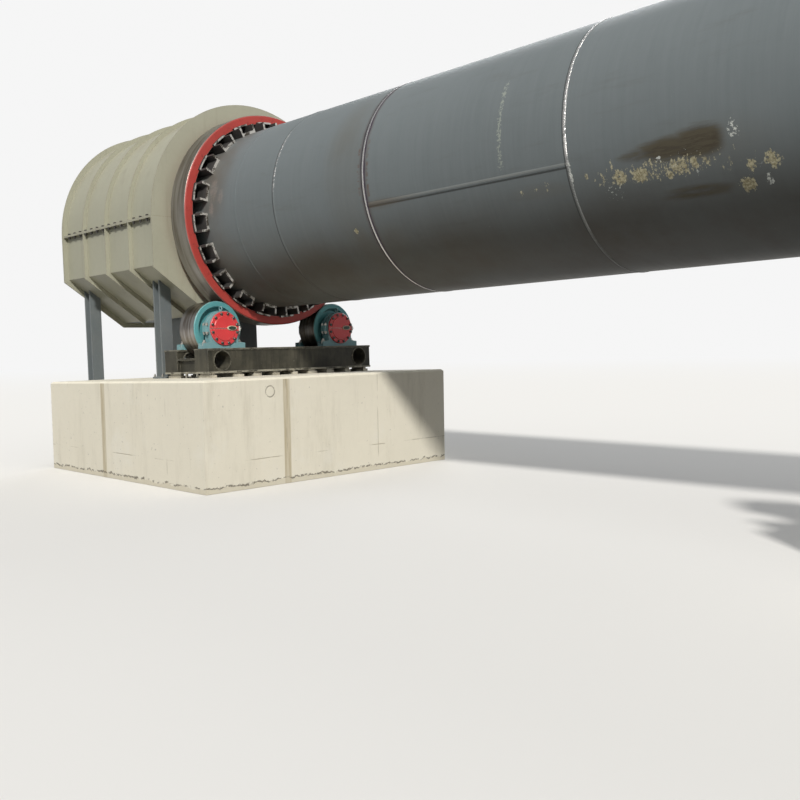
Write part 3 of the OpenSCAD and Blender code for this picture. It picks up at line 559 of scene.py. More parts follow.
effect(kiln_place, ["Point", "Along", "Angle", "Radius"])
effect(band, ["Mask"], Value=0.0, Centre=0.0, Half=0.01, Soft=0.002)
effect(patch, ["Mask"], Along=0.0, Angle=0.0, At=0.0, Turn=0.0, Length=0.1, Height=2.0, Strength=1.0)
effect(mottle, ["Colour"], Point=None, Colour=(0.5, 0.5, 0.5), Scale=1.0, Amount=0.2)
effect(dust, ["Colour", "Mask"], Colour=(0.5, 0.5, 0.5), Dust=DUST, Amount=0.5, Scale=3.0)
effect(worn_edge, ["Mask"], Width=0.006, Amount=1.0)
effect(rust, ["Colour", "Mask"], Point=None, Colour=(0.5, 0.5, 0.5), Scale=4.0, Amount=0.3)
effect(scuffs, ["Mask"], Point=None, Amount=0.5)


def new_finish(name):
    """The graph of an empty material."""
    made = bpy.data.materials.new(name)
    made.use_nodes = True
    made.node_tree.nodes.clear()
    return Graph(made.node_tree, made)


def shade(graph, colour, roughness, metallic=0.0, height=None, depth=0.001, **fixed):
    """The shader of a finish, which it completes; what is the same all over goes on its own sockets."""
    feeds = {"Base Color": colour, "Roughness": roughness, "Metallic": metallic, **fixed}
    if height is not None:
        bump = graph.add("Bump", {"Height": height, "Distance": depth, "Strength": 1.0})
        feeds["Normal"] = Wire(graph, bump.outputs["Normal"])
    shader = graph.add("BsdfPrincipled", feeds)
    end = graph.add("OutputMaterial")
    graph.tree.links.new(shader.outputs["BSDF"], end.inputs["Surface"])
    return graph.finish


def painted(name, colour, roughness=0.42, grime=0.35, wear=0.7, rusting=0.12, gloss=0.0, bare=STEEL):
    """Machine paint: clouds of tone, dust, chipped edges and a little rust."""
    g = new_finish(name)
    point = g.point()
    tone = g.mottled(point, colour, 2.4, 0.16)
    dirty = g.dusty(tone, grime, 5.0)
    rusty = g.rusty(point, dirty["Colour"], 9.0, rusting)
    edge = g.worn(0.005, wear)
    scratch = g.scuffed(point, 0.5 * wear)
    chipped = edge.over(scratch)
    colour_now = g.mix(chipped, rusty["Colour"], bare)
    rough = g.between(dirty["Mask"].over(rusty["Mask"]), roughness, 0.8)
    rough = rough + (g.noise(point, 40.0) - 0.5) * 0.12
    skin = g.noise(point, 90.0, 2.0) * 0.6 - chipped
    return shade(g, colour_now, rough, chipped * 0.7, skin, 0.0004,
                 **{"Coat Weight": gloss, "Coat Roughness": 0.2})


def turned_steel(name, colour=STEEL, roughness=0.3, stain=0.3):
    """Machined steel with fine turning marks and oil stains."""
    g = new_finish(name)
    point = g.point()
    marks = g.streaks(point, (130, 9, 9), 3.0)
    stained = g.noise(point, 7.0, 6.0, 0.65).step(0.45, 0.75) * stain
    tone = g.mottled(point, colour, 8.0, 0.15)
    colour_now = g.mix(stained, tone, (0.10, 0.075, 0.05))
    rough = (marks - 0.5) * 0.25 + roughness + stained * 0.35
    return shade(g, colour_now, rough, 1.0 - stained * 0.6, marks, 0.0002)


def dark_casting(name, colour, rusting=0.35, metallic=0.35, roughness=0.55):
    """Dark rough steel with rust and rubbed edges."""
    g = new_finish(name)
    point = g.point()
    tone = g.mottled(point, colour, 5.0, 0.3)
    rusty = g.rusty(point, tone, 11.0, rusting)
    dirty = g.dusty(rusty["Colour"], 0.4, 6.0)
    edge = g.worn(0.004, 0.8)
    pitted = g.noise(point, 60.0, 6.0, 0.7)
    rough = g.between(edge, rusty["Mask"].over(dirty["Mask"]) * 0.3 + roughness, 0.35)
    metal = g.between(rusty["Mask"].over(dirty["Mask"]), metallic, 0.0).over(edge * 0.9)
    return shade(g, g.mix(edge, dirty["Colour"], (0.42, 0.41, 0.40)), rough, metal, pitted, 0.0008)


# Formwork of the piers: width and height of a panel, and a distance that keeps places positive
PANEL_W = 0.61
PANEL_H = 0.62
FAR_OFF = 12.2

# Where a plugged tie hole shows on the lower pier's front: across and up
TIE_MARK = (-1.204, 0.898)


# ---- The barrel's primer, with its welds, heat tint, smears and overspray

# Girth welds from the lower end: how bare each bead is, and between which angles
WELD_BARE = [(0.10, -128, -104), (0.58, -129, -96), (1.0, -200, 200), (0.70, -168, -78),
             (0.2, -160, -120), (0.3, 60, 150), (0.2, -150, -90), (0.25, -160, -100)]
TINTED_WELD = 2
TINTED_END = COURSE_ENDS[TINTED_WELD]

# Marks on the near side: place along, angle, half length, half height in degrees and strength
SMEARS = [
    (5.78, -74.0, 0.20, 5.8, 1.0), (5.56, -73.6, 0.24, 4.4, 0.9), (5.36, -73.0, 0.18, 3.0, 0.62),
    (5.74, -70.8, 0.16, 1.8, 1.0), (5.72, -54.8, 0.28, 3.0, 0.62),
]
OLIVE = [
    (2.47, -61.0, 0.10, 6.0, 0.9), (2.54, -50.0, 0.16, 11.0, 0.8), (2.42, -95.0, 0.22, 44.0, 0.62),
    (2.86, -52.0, 0.16, 9.0, 0.5), (2.82, -74.6, 0.22, 2.6, 0.7), (0.32, -110.0, 0.22, 34.0, 0.9),
    (0.36, -58.0, 0.24, 22.0, 0.9), (0.30, -150.0, 0.22, 20.0, 0.8), (5.72, -73.0, 0.42, 9.0, 0.45),
    (4.50, -66.0, 0.24, 3.0, 0.45), (1.60, -40.0, 0.50, 16.0, 0.6), (3.60, -36.0, 0.70, 14.0, 0.55),
]
PUTTY = [
    (5.162, -65.8, 0.062, 3.4, 1.0), (5.331, -65.4, 0.076, 3.4, 1.0), (5.617, -66.2, 0.100, 4.4, 0.80),
    (5.720, -66.6, 0.036, 3.2, 0.85), (5.530, -63.6, 0.040, 2.4, 0.75), (5.651, -63.2, 0.036, 2.2, 0.75),
    (5.917, -63.4, 0.060, 3.8, 0.55), (6.081, -61.9, 0.042, 3.2, 0.90), (6.034, -54.6, 0.055, 3.6, 0.95),
    (6.224, -62.9, 0.060, 3.8, 0.95), (5.119, -71.6, 0.014, 2.4, 0.75), (4.906, -68.6, 0.014, 2.0, 0.85),
    (5.020, -68.2, 0.024, 2.2, 0.62), (4.560, -67.4, 0.030, 2.8, 0.62), (4.450, -66.9, 0.050, 1.4, 0.50),
    (4.330, -66.7, 0.022, 1.4, 0.80), (5.480, -66.2, 0.620, 4.6, 0.60), (2.449, -62.8, 0.026, 1.6, 0.95),
]
FLECKS = [
    (6.004, -76.1, 0.050, 4.2, 0.80), (6.174, -55.3, 0.024, 3.4, 0.95), (5.473, -70.4, 0.022, 1.4, 1.0),
    (5.729, -62.4, 0.012, 1.8, 1.0), (5.620, -66.0, 0.100, 3.0, 0.45), (4.780, -75.0, 0.018, 1.3, 1.1),
    (4.786, -70.0, 0.014, 4.5, 1.0),
    (5.100, -60.0, 0.100, 5.0, 0.50), (6.174, -62.0, 0.090, 3.0, 0.45), (5.700, -71.0, 0.120, 1.6, 0.4),
]
# Where a painted pinkish highlight lies on the plate next to the ring
PAINTED_PINK_SHEEN = [
    (0.36, -103.0, 0.08, 8.0, 0.62), (0.50, -97.0, 0.06, 6.0, 0.55), (0.34, -91.0, 0.06, 5.0, 0.60),
]


def shell_primer():
    """Blue-grey primer over brushed plate outside, bare rusty plate inside."""
    g = new_finish("shell_primer")
    place = g.use("kiln_place")
    point, along, angle, radius = (place[k] for k in ("Point", "Along", "Angle", "Radius"))
    inside = radius.step(SHELL_IN + 0.010, SHELL_IN + 0.004)

    # Primer: clouds, brush marks round the barrel, faint runs
    tone = g.mottled(point, (0.144, 0.169, 0.175), 0.9, 0.16)
    brushed = g.streaks(point, (26, 1.2, 1.2), 4.0, 0.6)
    wiped = g.streaks(point, (1.6, 9, 9), 4.0, 0.65)
    paint = g.mix((brushed - 0.5) * 0.9 + 0.5, tone, (0.190, 0.211, 0.219))
    paint = g.mix(wiped.step(0.55, 0.85) * 0.35, paint, (0.115, 0.118, 0.108))
    # Painted shade: the primer turns darker and browner towards the underside, broken up by clouds of
    # brown dirt
    under = angle.size().step(82.0, 34.0)
    stain = g.noise(point, 1.3, 5.0, 0.6).step(0.35, 0.8)
    paint = g.mix(under * (stain * 0.35 + 0.60), paint, (0.054, 0.043, 0.029))
    near_ring = along.step(0.75, 0.25) * along.step(-0.2, 0.1)
    paint = g.mix(near_ring * stain * 0.5, paint, (0.150, 0.115, 0.090))

    # Washes brushed along the plate, then flaked putty and flecks, with streaks down the plate
    def near_marks(marks):
        return most([g.use("patch", Along=along, Angle=angle, At=spot, Turn=turn, Length=length,
                           Height=height, Strength=strength)["Mask"]
                     for spot, turn, length, height, strength in marks])

    wash = g.noise(g.stretched(point, (0.45, 3.0, 3.0)), 9.0, 6.0, 0.7) - 0.5
    fine = g.noise(point, 55.0, 4.0, 0.7)
    flake = g.noise(g.stretched(point, (3.6, 1.0, 1.0)), 11.0, 5.0, 0.75) * 0.6 + fine * 0.4
    cut_off = along.step(5.985, 5.885).over(along.step(6.2, 6.3))
    olive = near_marks(OLIVE) * (stain * 0.6 + 0.4)
    paint = g.mix(olive * 0.6, paint, (0.118, 0.096, 0.062))
    near_smear = near_marks(SMEARS)
    smear = (near_smear + wash * 1.2).step(0.10, 0.95) * near_smear.step(0.0, 0.35) * cut_off
    dark = g.mix((wash * 3.0 + 0.5).step(0.3, 0.7), (0.054, 0.038, 0.019), (0.084, 0.068, 0.039))
    paint = g.mix(smear * 0.88, paint, dark)
    # A painted pinkish sheen near the ring, broken up by the washes and flakes
    painted_sheen = (near_marks(PAINTED_PINK_SHEEN) + wash * 0.8 + (flake - 0.5) * 1.6).step(0.30, 0.90)
    paint = g.mix(painted_sheen * 0.6, paint, (0.33, 0.27, 0.24))
    putty = (flake + near_marks(PUTTY) * 0.29).step(0.690, 0.720)
    putty_tone = g.mix(fine.step(0.40, 0.62), (0.30, 0.26, 0.15), (0.62, 0.57, 0.39))
    paint = g.mix(putty * 0.9, paint, putty_tone)
    fleck = (fine * 0.7 + flake * 0.3 + near_marks(FLECKS) * 0.25).step(0.715, 0.745)
    paint = g.mix(fleck, paint, (0.66, 0.68, 0.64))

    # A broken chalk line round the fourth course
    bend = g.maths("MAXIMUM", (-115.0 - angle) * 0.004, 0.0)
    chalk = g.band(along - bend, 4.182, 0.026, 0.022)
    chalk = chalk * g.band(angle, -99.0, 21.0, 3.0)
    chalk = (fine * 0.7 + flake * 0.3 + chalk * 0.20).step(0.675, 0.735)
    paint = g.mix(chalk * 0.65, paint, (0.38, 0.41, 0.35))
    rough_mask = smear.over(putty).over(fleck).over(chalk)

    # The lengthwise weld of the fourth course, with a painted highlight along its top and a painted
    # shadow along its foot
    fourth = g.within(along, COURSE_ENDS[2] + 0.012, COURSE_ENDS[3] - 0.012, 0.006)
    painted_weld_highlight = g.band(angle, -75.5, 0.50, 0.2) * fourth
    # Painted shadow along the weld's foot
    foot = g.band(angle, -73.75, 0.34, 0.14) * fourth
    paint = g.mix(painted_weld_highlight * (stain * 0.3 + 0.3), paint, (0.25, 0.255, 0.24))
    paint = g.mix(foot * 0.8, paint, (0.030, 0.032, 0.032))
    brown_end = along.step(3.45, 2.72) * fourth * g.band(angle, -74.8, 1.5, 0.4)
    paint = g.mix(brown_end * 0.6, paint, (0.115, 0.092, 0.066))

    # The freshly closed weld: heat tint on both sides, rust above it and a brown halo below
    jitter = (g.noise(point, 9.0, 4.0) - 0.5) * 0.03
    off = (along - (TINTED_END - BEAD_W / 2)).size() + jitter
    tint_window = g.band(angle, -95.0, 62.0, 14.0)
    warm = off.step(0.062, 0.020) * 0.6 * (tint_window * 0.7 + 0.3)
    paint = g.mix(warm, paint, (0.085, 0.060, 0.052))
    paint = g.mix(off.step(0.034, 0.018) * 0.85, paint, (0.036, 0.024, 0.046))
    dashes = g.noise(g.stretched(point, (1, 3, 3)), 9.0, 4.0, 0.7)
    for shift, low, high in ((0.044, -108.0, -76.0), (-0.068, -108.0, -80.0)):
        rust_line = g.band(along + jitter * 0.3, TINTED_END + shift, 0.012, 0.008)
        rust_line = rust_line * dashes.step(0.46, 0.60) * g.within(angle, low, high, 8.0)
        paint = g.mix(rust_line * 0.7, paint, (0.140, 0.082, 0.058))

    # Bare beads and their ripples; the tinted one is bright only along its middle
    dots = g.noise(point, 40.0, 3.0, 0.6)
    beads, shown = [], []
    for end, (share, low, high) in zip(COURSE_ENDS, WELD_BARE):
        bead = g.band(along, end - BEAD_W / 2, BEAD_W / 2, 0.002)
        core = g.band(along, end - BEAD_W / 2, 0.008, 0.004)
        window = g.within(angle, low, high, 6.0)
        beads.append(bead)
        clean = (dots * 1.6 + (share - 0.86)).step(0.42, 0.56)
        shown.append((core if end == TINTED_END else bead) * window * clean)
    bead_all = most(beads)
    bare = most(shown).over(bead_all * inside)
    ripple = (angle * 9.0).wave() * bead_all
    # Painted shadow: a thin dark line beside each bead, from the second weld on
    painted_bead_shadow = most([g.band(along, end - BEAD_W - 0.004, 0.006, 0.003)
                   for end in COURSE_ENDS[1:]])
    paint = g.mix(painted_bead_shadow * 0.75, paint, (0.040, 0.042, 0.040))
    wide = g.band(along, COURSE_ENDS[3] - BEAD_W / 2, BEAD_W / 2, 0.003)
    paint = g.mix(wide * (dots * 0.6 + 0.3), paint, (0.32, 0.325, 0.315))

    # Bare plate inside, with rust and mill scale; cut ends
    scale_tone = g.noise(point, 2.2, 6.0, 0.65).step(0.35, 0.68)
    plate = g.mix(scale_tone, (0.040, 0.036, 0.034), (0.115, 0.066, 0.040))
    plate = g.rusty(point, plate, 3.0, 0.5)["Colour"]
    colour = g.mix(inside, paint, plate)
    ends = along.step(SHELL_FROM + 0.004, SHELL_FROM + 0.002)
    ends = ends.over(along.step(SHELL_TO - 0.004, SHELL_TO - 0.002))
    colour = g.mix(ends, colour, (0.16, 0.12, 0.10))
    colour = g.mix(bare, colour, (0.62, 0.61, 0.60))
    rough = g.between(inside, (brushed - 0.5) * 0.16 + 0.50, 0.62)
    rough = g.between(rough_mask, rough, 0.75)
    rough = g.between(bare, rough, 0.27)
    height = brushed * 0.35 + ripple * 0.8 + dots * bead_all * 0.8 + g.noise(point, 120.0, 2.0) * 0.15
    return shade(g, colour, rough, bare.over(inside * 0.35), height, 0.0012,
                 **{"Specular IOR Level": 0.28})


def ring_finish():
    """Red oxide on the riding ring's sides, a rolled steel face, and bare edges."""
    g = new_finish("ring_red")
    place = g.use("kiln_place")
    point, radius = place["Point"], place["Radius"]
    tone = g.mottled(point, (0.44, 0.052, 0.042), 3.0, 0.22)
    dirty = g.dusty(tone, 0.5, 4.0, (0.20, 0.12, 0.09))
    run = g.streaks(point, (4, 18, 18), 5.0, 0.65).step(0.56, 0.74)
    side = g.mix(run * 0.5, dirty["Colour"], (0.11, 0.022, 0.018))
    rolled = radius.step(RING_R - 0.005, RING_R - 0.002)
    bore = radius.step(RING_IN + 0.004, RING_IN + 0.0015)
    edge = g.worn(0.007, 1.0)
    marks = g.streaks(point, (220, 3, 3), 3.0)
    greasy = g.streaks(point, (16, 1.3, 1.3), 5.0, 0.6)
    steel = g.mix(greasy.step(0.35, 0.70), (0.31, 0.295, 0.275), (0.150, 0.125, 0.100))
    colour = g.mix(edge * 0.6, side, (0.30, 0.22, 0.19))
    colour = g.mix(rolled.over(bore), colour, steel)
    rough = g.between(rolled, dirty["Mask"] * 0.3 + 0.48, (marks - 0.5) * 0.3 + 0.36)
    height = marks * rolled + g.noise(point, 70.0, 3.0) * 0.5
    return shade(g, colour, rough, rolled.over(bore) * 0.8, height, 0.0005)


def pad_finish():
    """Dark pads under the ring with bright flame-cut ends."""
    g = new_finish("pad_steel")
    point = g.use("kiln_place")["Point"]
    end_face = g.end_face(0.85, 0.95)
    tone = g.mottled(point, (0.045, 0.042, 0.040), 7.0, 0.3)
    rusty = g.rusty(point, tone, 9.0, 0.42)
    cut = g.streaks(point, (2, 160, 160), 3.0)
    scorched = g.noise(point, 16.0, 5.0, 0.7).step(0.44, 0.58)
    bright = g.mix(scorched, (0.66, 0.64, 0.60), (0.085, 0.072, 0.058))
    colour = g.mix(end_face, rusty["Colour"], bright)
    rough = g.between(end_face, 0.62, 0.42)
    height = cut * end_face + g.noise(point, 50.0, 5.0) * 0.5
    return shade(g, colour, rough, end_face * 0.45, height, 0.0008)


def roller_finish():
    """Support rollers: rolled steel rim, sides painted teal."""
    g = new_finish("roller_steel")
    point = g.point()
    side_face = g.end_face(0.3, 0.5)
    tone = g.mottled(point, (0.10, 0.34, 0.36), 4.0, 0.2)
    dirty = g.dusty(tone, 0.35, 5.0)
    marks = g.streaks(point, (200, 4, 4), 3.0)
    oily = g.streaks(point, (26, 2.4, 2.4), 5.0, 0.6)
    steel = g.mix(oily.step(0.35, 0.70), (0.36, 0.345, 0.325), (0.150, 0.120, 0.095))
    edge = g.worn(0.006, 1.0)
    colour = g.mix(side_face, steel, g.mix(edge, dirty["Colour"], (0.40, 0.38, 0.36)))
    rough = g.between(side_face, (marks - 0.5) * 0.25 + 0.34, 0.45)
    return shade(g, colour, rough, 1.0 - side_face * 0.95, marks, 0.0004)


def concrete_finish():
    """Cast concrete: form joints with water stains, a tie mark, pores and a rough line at its foot, with
    a painted shadow above it.
    """
    g = new_finish("concrete")
    point = g.point()
    x, y, z = g.split(point)
    tone = g.mottled(point, (0.86, 0.81, 0.675), 1.1, 0.07)
    poured = g.streaks(point, (5, 5, 0.8), 6.0, 0.7)
    colour = g.mix(poured.step(0.46, 0.80) * 0.55, tone, (0.58, 0.535, 0.42))
    pale = g.noise(point, 1.7, 5.0, 0.7).step(0.52, 0.75)
    colour = g.mix(pale * 0.5, colour, (0.90, 0.87, 0.77))
    pores = g.cells(point, 26.0).step(0.10, 0.04) * g.noise(point, 5.0).step(0.50, 0.66)
    colour = g.mix(pores * 0.6, colour, (0.34, 0.30, 0.23))
    specks = g.noise(point, 30.0, 3.0).step(0.68, 0.73)
    colour = g.mix(specks * 0.5, colour, (0.38, 0.36, 0.30))
    out = g.normal()
    upright = 1.0 - out[2].size().step(0.3, 0.6)
    facing_x = out[0].size().step(0.5, 0.8) * upright
    facing_y = out[1].size().step(0.5, 0.8) * upright

    # Joints of the formwork: every second one has a strip stained brown by water
    wobble = (g.noise(point, 2.0, 3.0) - 0.5) * 0.012
    thin, stain = [], []
    for line, face, shift in ((y, facing_x, 1.01), (x, facing_y, 0.30)):
        every = g.maths("PINGPONG", line + wobble + (shift + FAR_OFF + 0.005), PANEL_W)
        second = g.maths("PINGPONG", line + wobble * 0.5 + (shift + FAR_OFF), 2 * PANEL_W)
        thin.append(every.step(0.005, 0.002) * face)
        stain.append(second.step(0.046, 0.034) * face)
    run = g.streaks(point, (30, 30, 1.5), 4.0, 0.7).step(0.30, 0.62)
    colour = g.mix(most(stain) * (run * 0.5 + 0.35), colour, (0.50, 0.42, 0.27))
    level = g.maths("PINGPONG", z + wobble + 0.97, PANEL_H).step(0.006, 0.002) * upright
    lines = most(thin).over(level) * g.noise(point, 2.4, 3.0).step(0.47, 0.56)
    colour = g.mix(lines * 0.6, colour, (0.34, 0.29, 0.20))

    # A plugged tie hole between two joints on the faces across the kiln
    ring_y = (y - TIE_MARK[0]).size()
    ring_z = z - TIE_MARK[1]
    round_it = g.maths("SQRT", ring_y * ring_y + ring_z * ring_z)
    tie = g.band(round_it, 0.052, 0.006, 0.003) * facing_x
    tie = tie * g.noise(point, 18.0, 3.0).step(0.34, 0.5)
    colour = g.mix(tie * 0.7, colour, (0.26, 0.23, 0.18))

    # Grout splashed along the foot, with a painted shadow in a dark broken line above it
    foot_edge = z + (g.noise(point, 9.0, 6.0, 0.8) - 0.5) * 0.12
    foot = foot_edge.step(0.052, 0.036) * upright
    colour = g.mix(foot * 0.6, colour, (0.66, 0.60, 0.46))
    painted_grout_shadow = g.band(foot_edge, 0.050, 0.008, 0.004) * upright
    painted_grout_shadow = painted_grout_shadow * g.noise(point, 14.0, 3.0).step(0.40, 0.5)
    colour = g.mix(painted_grout_shadow * 0.85, colour, (0.13, 0.11, 0.08))
    dirty = g.dusty(colour, 0.25, 2.0, (0.62, 0.575, 0.46))
    height = g.noise(point, 45.0, 6.0, 0.7) * 0.5 - pores * 1.6 - lines * 0.8 - tie + foot * 2.0
    return shade(g, dirty["Colour"], 0.88, 0.0, height, 0.002)


def gear_finish():
    """Orange-red primer on the gear, with bare greasy tooth flanks."""
    g = new_finish("gear_red")
    place = g.use("kiln_place")
    point, radius = place["Point"], place["Radius"]
    tone = g.mottled(point, (0.46, 0.085, 0.035), 3.0, 0.2)
    dirty = g.dusty(tone, 0.55, 4.0, (0.25, 0.16, 0.11))
    rusty = g.rusty(point, dirty["Colour"], 6.0, 0.25)
    end_face = g.end_face(0.4, 0.6)
    flank = radius.step(TOOTH_FOOT, TOOTH_FOOT + 0.010) * (1.0 - end_face)
    greasy = g.noise(point, 14.0, 5.0, 0.65)
    steel = g.mix(greasy.step(0.35, 0.65), (0.38, 0.36, 0.34), (0.050, 0.042, 0.034))
    edge = g.worn(0.005, 0.7)
    colour = g.mix(flank, g.mix(edge, rusty["Colour"], (0.34, 0.30, 0.27)), steel)
    rough = g.between(flank, dirty["Mask"] * 0.3 + 0.45, greasy * 0.3 + 0.18)
    return shade(g, colour, rough, flank * 0.85, g.noise(point, 55.0, 4.0), 0.0008)


def cover_finish():
    """Signal red covers, split across their middle, with a rubbed line along the split."""
    g = new_finish("cover_red")
    place = g.use("kiln_place")
    point = place["Point"]
    height_up = g.split(point)[2] + ROLLER_DROP
    tone = g.mottled(point, (0.70, 0.040, 0.045), 7.0, 0.14)
    dirty = g.dusty(tone, 0.26, 8.0, (0.34, 0.17, 0.12))
    across = g.split(point)[1].size() - ROLLER_Y
    wavy = height_up + (across * 190.0).wave() * 0.0045 + (g.noise(point, 30.0, 3.0) - 0.5) * 0.010
    split = height_up.size().step(0.0022, 0.0012)
    rubbed = wavy.size().step(0.006, 0.002) * g.noise(point, 40.0, 5.0, 0.7).step(0.36, 0.5)
    edge = g.worn(0.005, 1.0)
    scratch = g.scuffed(point, 0.8)
    bare = rubbed.over(edge).over(scratch)
    colour = g.mix(bare * 0.8, dirty["Colour"], (0.66, 0.50, 0.45))
    colour = g.mix(split, colour, (0.03, 0.02, 0.02))
    rough = g.between(dirty["Mask"], 0.30, 0.7)
    return shade(g, colour, rough, bare * 0.4, g.noise(point, 90.0, 2.0) * 0.3 - split, 0.0008,
                 **{"Coat Weight": 0.3, "Coat Roughness": 0.15})


def frame_finish():
    """Black base frames under cement dust, with rust at their welds."""
    g = new_finish("frame_black")
    point = g.point()
    tone = g.mottled(point, (0.021, 0.021, 0.016), 3.5, 0.35)
    low = g.streaks(point, (22, 22, 2.2), 6.0, 0.7).step(0.36, 0.72)
    cloud = g.noise(point, 2.2, 3.0).step(0.35, 0.65)
    colour = g.mix(low * (cloud * 0.45 + 0.15), tone, (0.082, 0.077, 0.055))
    specks = g.noise(point, 26.0, 4.0, 0.7).step(0.66, 0.72) * cloud
    colour = g.mix(specks * 0.6, colour, (0.30, 0.28, 0.22))
    rusty = g.rusty(point, colour, 5.0, 0.22)
    dirty = g.dusty(rusty["Colour"], 0.75, 3.0, (0.40, 0.36, 0.27))
    up = g.split(g.use("kiln_place")["Point"])[2]
    # Pale lines along the flange edges, the lower one stronger: part cement dust, part painted highlight
    lower = g.band(up, FRAME_BOTTOM + 0.010, 0.010, 0.002)
    upper = g.band(up, FRAME_TOP - 0.006, 0.006, 0.003)
    flat = 1.0 - g.normal()[2].size().step(0.3, 0.6)
    edge = g.worn(0.008, 0.85)
    patchy = g.noise(point, 7.0, 4.0, 0.7).step(0.36, 0.55)
    edge = edge.over(lower.over(upper * 0.45) * flat * patchy * 0.85)
    colour = g.mix(edge, dirty["Colour"], (0.40, 0.38, 0.31))
    rough = g.between(dirty["Mask"].over(rusty["Mask"]), 0.5, 0.9)
    height = g.noise(point, 40.0, 5.0)
    return shade(g, colour, rough, edge * 0.3, height, 0.0008, **{"Specular IOR Level": 0.3})


def hood_finish():
    """Pale greenish cream paint with runs of dust and rust at the edges."""
    g = new_finish("hood_cream")
    point = g.use("kiln_place")["Point"]
    tone = g.mottled(point, (0.400, 0.395, 0.305), 1.6, 0.10)
    run = g.streaks(point, (9, 9, 0.7), 6.0, 0.65).step(0.52, 0.8)
    colour = g.mix(run * 0.35, tone, (0.22, 0.19, 0.13))
    rusty = g.rusty(point, colour, 4.0, 0.16)
    dirty = g.dusty(rusty["Colour"], 0.55, 2.5, (0.33, 0.30, 0.23))
    edge = g.worn(0.007, 0.75)
    colour = g.mix(edge, dirty["Colour"], (0.16, 0.10, 0.07))
    rough = g.between(dirty["Mask"].over(rusty["Mask"]), 0.42, 0.8)
    return shade(g, colour, rough, 0.0, g.noise(point, 60.0, 3.0) * 0.5, 0.0005)


def packing_finish():
    """Flame-cut packing plates, pale and scaly."""
    g = new_finish("packing_steel")
    point = g.point()
    tone = g.noise(point, 6.0, 4.0)
    colour = g.mix(tone.step(0.35, 0.65), (0.34, 0.31, 0.25), (0.66, 0.62, 0.52))
    rusty = g.rusty(point, colour, 14.0, 0.30)
    cut = g.streaks(point, (150, 150, 6), 3.0)
    return shade(g, rusty["Colour"], g.between(rusty["Mask"], 0.5, 0.85), 0.3, cut, 0.0008)


def enamel(name, colour, roughness=0.3):
    """A small smooth fitting."""
    g = new_finish(name)
    point = g.point()
    tone = g.mottled(point, colour, 20.0, 0.12)
    dirty = g.dusty(tone, 0.3, 20.0)
    return shade(g, dirty["Colour"], g.between(dirty["Mask"], roughness, 0.7), 0.0,
                 g.noise(point, 120.0, 2.0), 0.0002)


TEAL = (0.180, 0.360, 0.385)
GREEN = (0.075, 0.230, 0.165)

shell = shell_primer()
ring_paint = ring_finish()
pads = pad_finish()
rollers = roller_finish()
concrete = concrete_finish()
gear_paint = gear_finish()
cover_paint = cover_finish()
frame_paint = frame_finish()
hood_paint = hood_finish()
packing = packing_finish()
teal = painted("teal", TEAL, roughness=0.36, grime=0.4, wear=0.6, rusting=0.08, gloss=0.2)
green = painted("machine_green", GREEN, roughness=0.36, grime=0.45, wear=0.6, rusting=0.1, gloss=0.2)
leg_paint = painted("leg_primer", (0.150, 0.172, 0.180), roughness=0.5, grime=0.4, wear=0.6, rusting=0.2)
yellow = painted("guard_yellow", (0.62, 0.36, 0.035), roughness=0.4, grime=0.4, wear=0.8, rusting=0.15)
brace_red = painted("brace_red", (0.17, 0.045, 0.030), roughness=0.6, grime=0.2, wear=0.5, rusting=0.45)
shaft_steel = turned_steel("shaft_steel", (0.42, 0.41, 0.39), roughness=0.32, stain=0.5)
bolt_steel = dark_casting("bolt_steel", (0.055, 0.052, 0.050), rusting=0.3, metallic=0.6, roughness=0.42)
dark_steel = dark_casting("dark_steel", (0.065, 0.060, 0.058), rusting=0.4)
bright_bolt = turned_steel("bright_bolt", (0.60, 0.58, 0.53), roughness=0.36, stain=0.45)
cream_rim = enamel("cream_rim", (0.70, 0.66, 0.50))
green_glass = enamel("green_glass", (0.015, 0.050, 0.032), roughness=0.08)
white_cap = enamel("white_cap", (0.78, 0.77, 0.72))

FINISH_OF = {
    "shell_course": shell, "riding_ring": ring_paint, "filler_pads": pads, "stop_blocks": pads,
    "girth_gear": gear_paint, "spring_plates": gear_paint, "brace": brace_red,
    "roller_shaft": shaft_steel, "roller": rollers, "pinion_coupling": green,
    "pinion_bearings": teal, "pinion": shaft_steel, "bearing_housings": teal,
    "bearing_covers": cover_paint, "base_frame": frame_paint, "drive_base": frame_paint,
    "packing_plates": packing, "pier": concrete,
    "drive_pier": concrete, "hood_plinth": concrete, "gear_reducer": green, "drive_motor": green,
    "coupling_guard": yellow, "hood_floor": leg_paint, "hood_legs": leg_paint, "hood_door": dark_steel,
    "hood": hood_paint, "burner_port": dark_steel, "seal_ring": dark_steel,
}


def dress_cad():
    """Gives every CAD node the finish whose name it begins with, the longest first."""
    for node, made in frame["nodes"].items():
        key = max((k for k in FINISH_OF if node.startswith(k)), key=len)
        made.data.materials.clear()
        made.data.materials.append(FINISH_OF[key])


dress_cad()


# ---- Fittings on the roller bearings


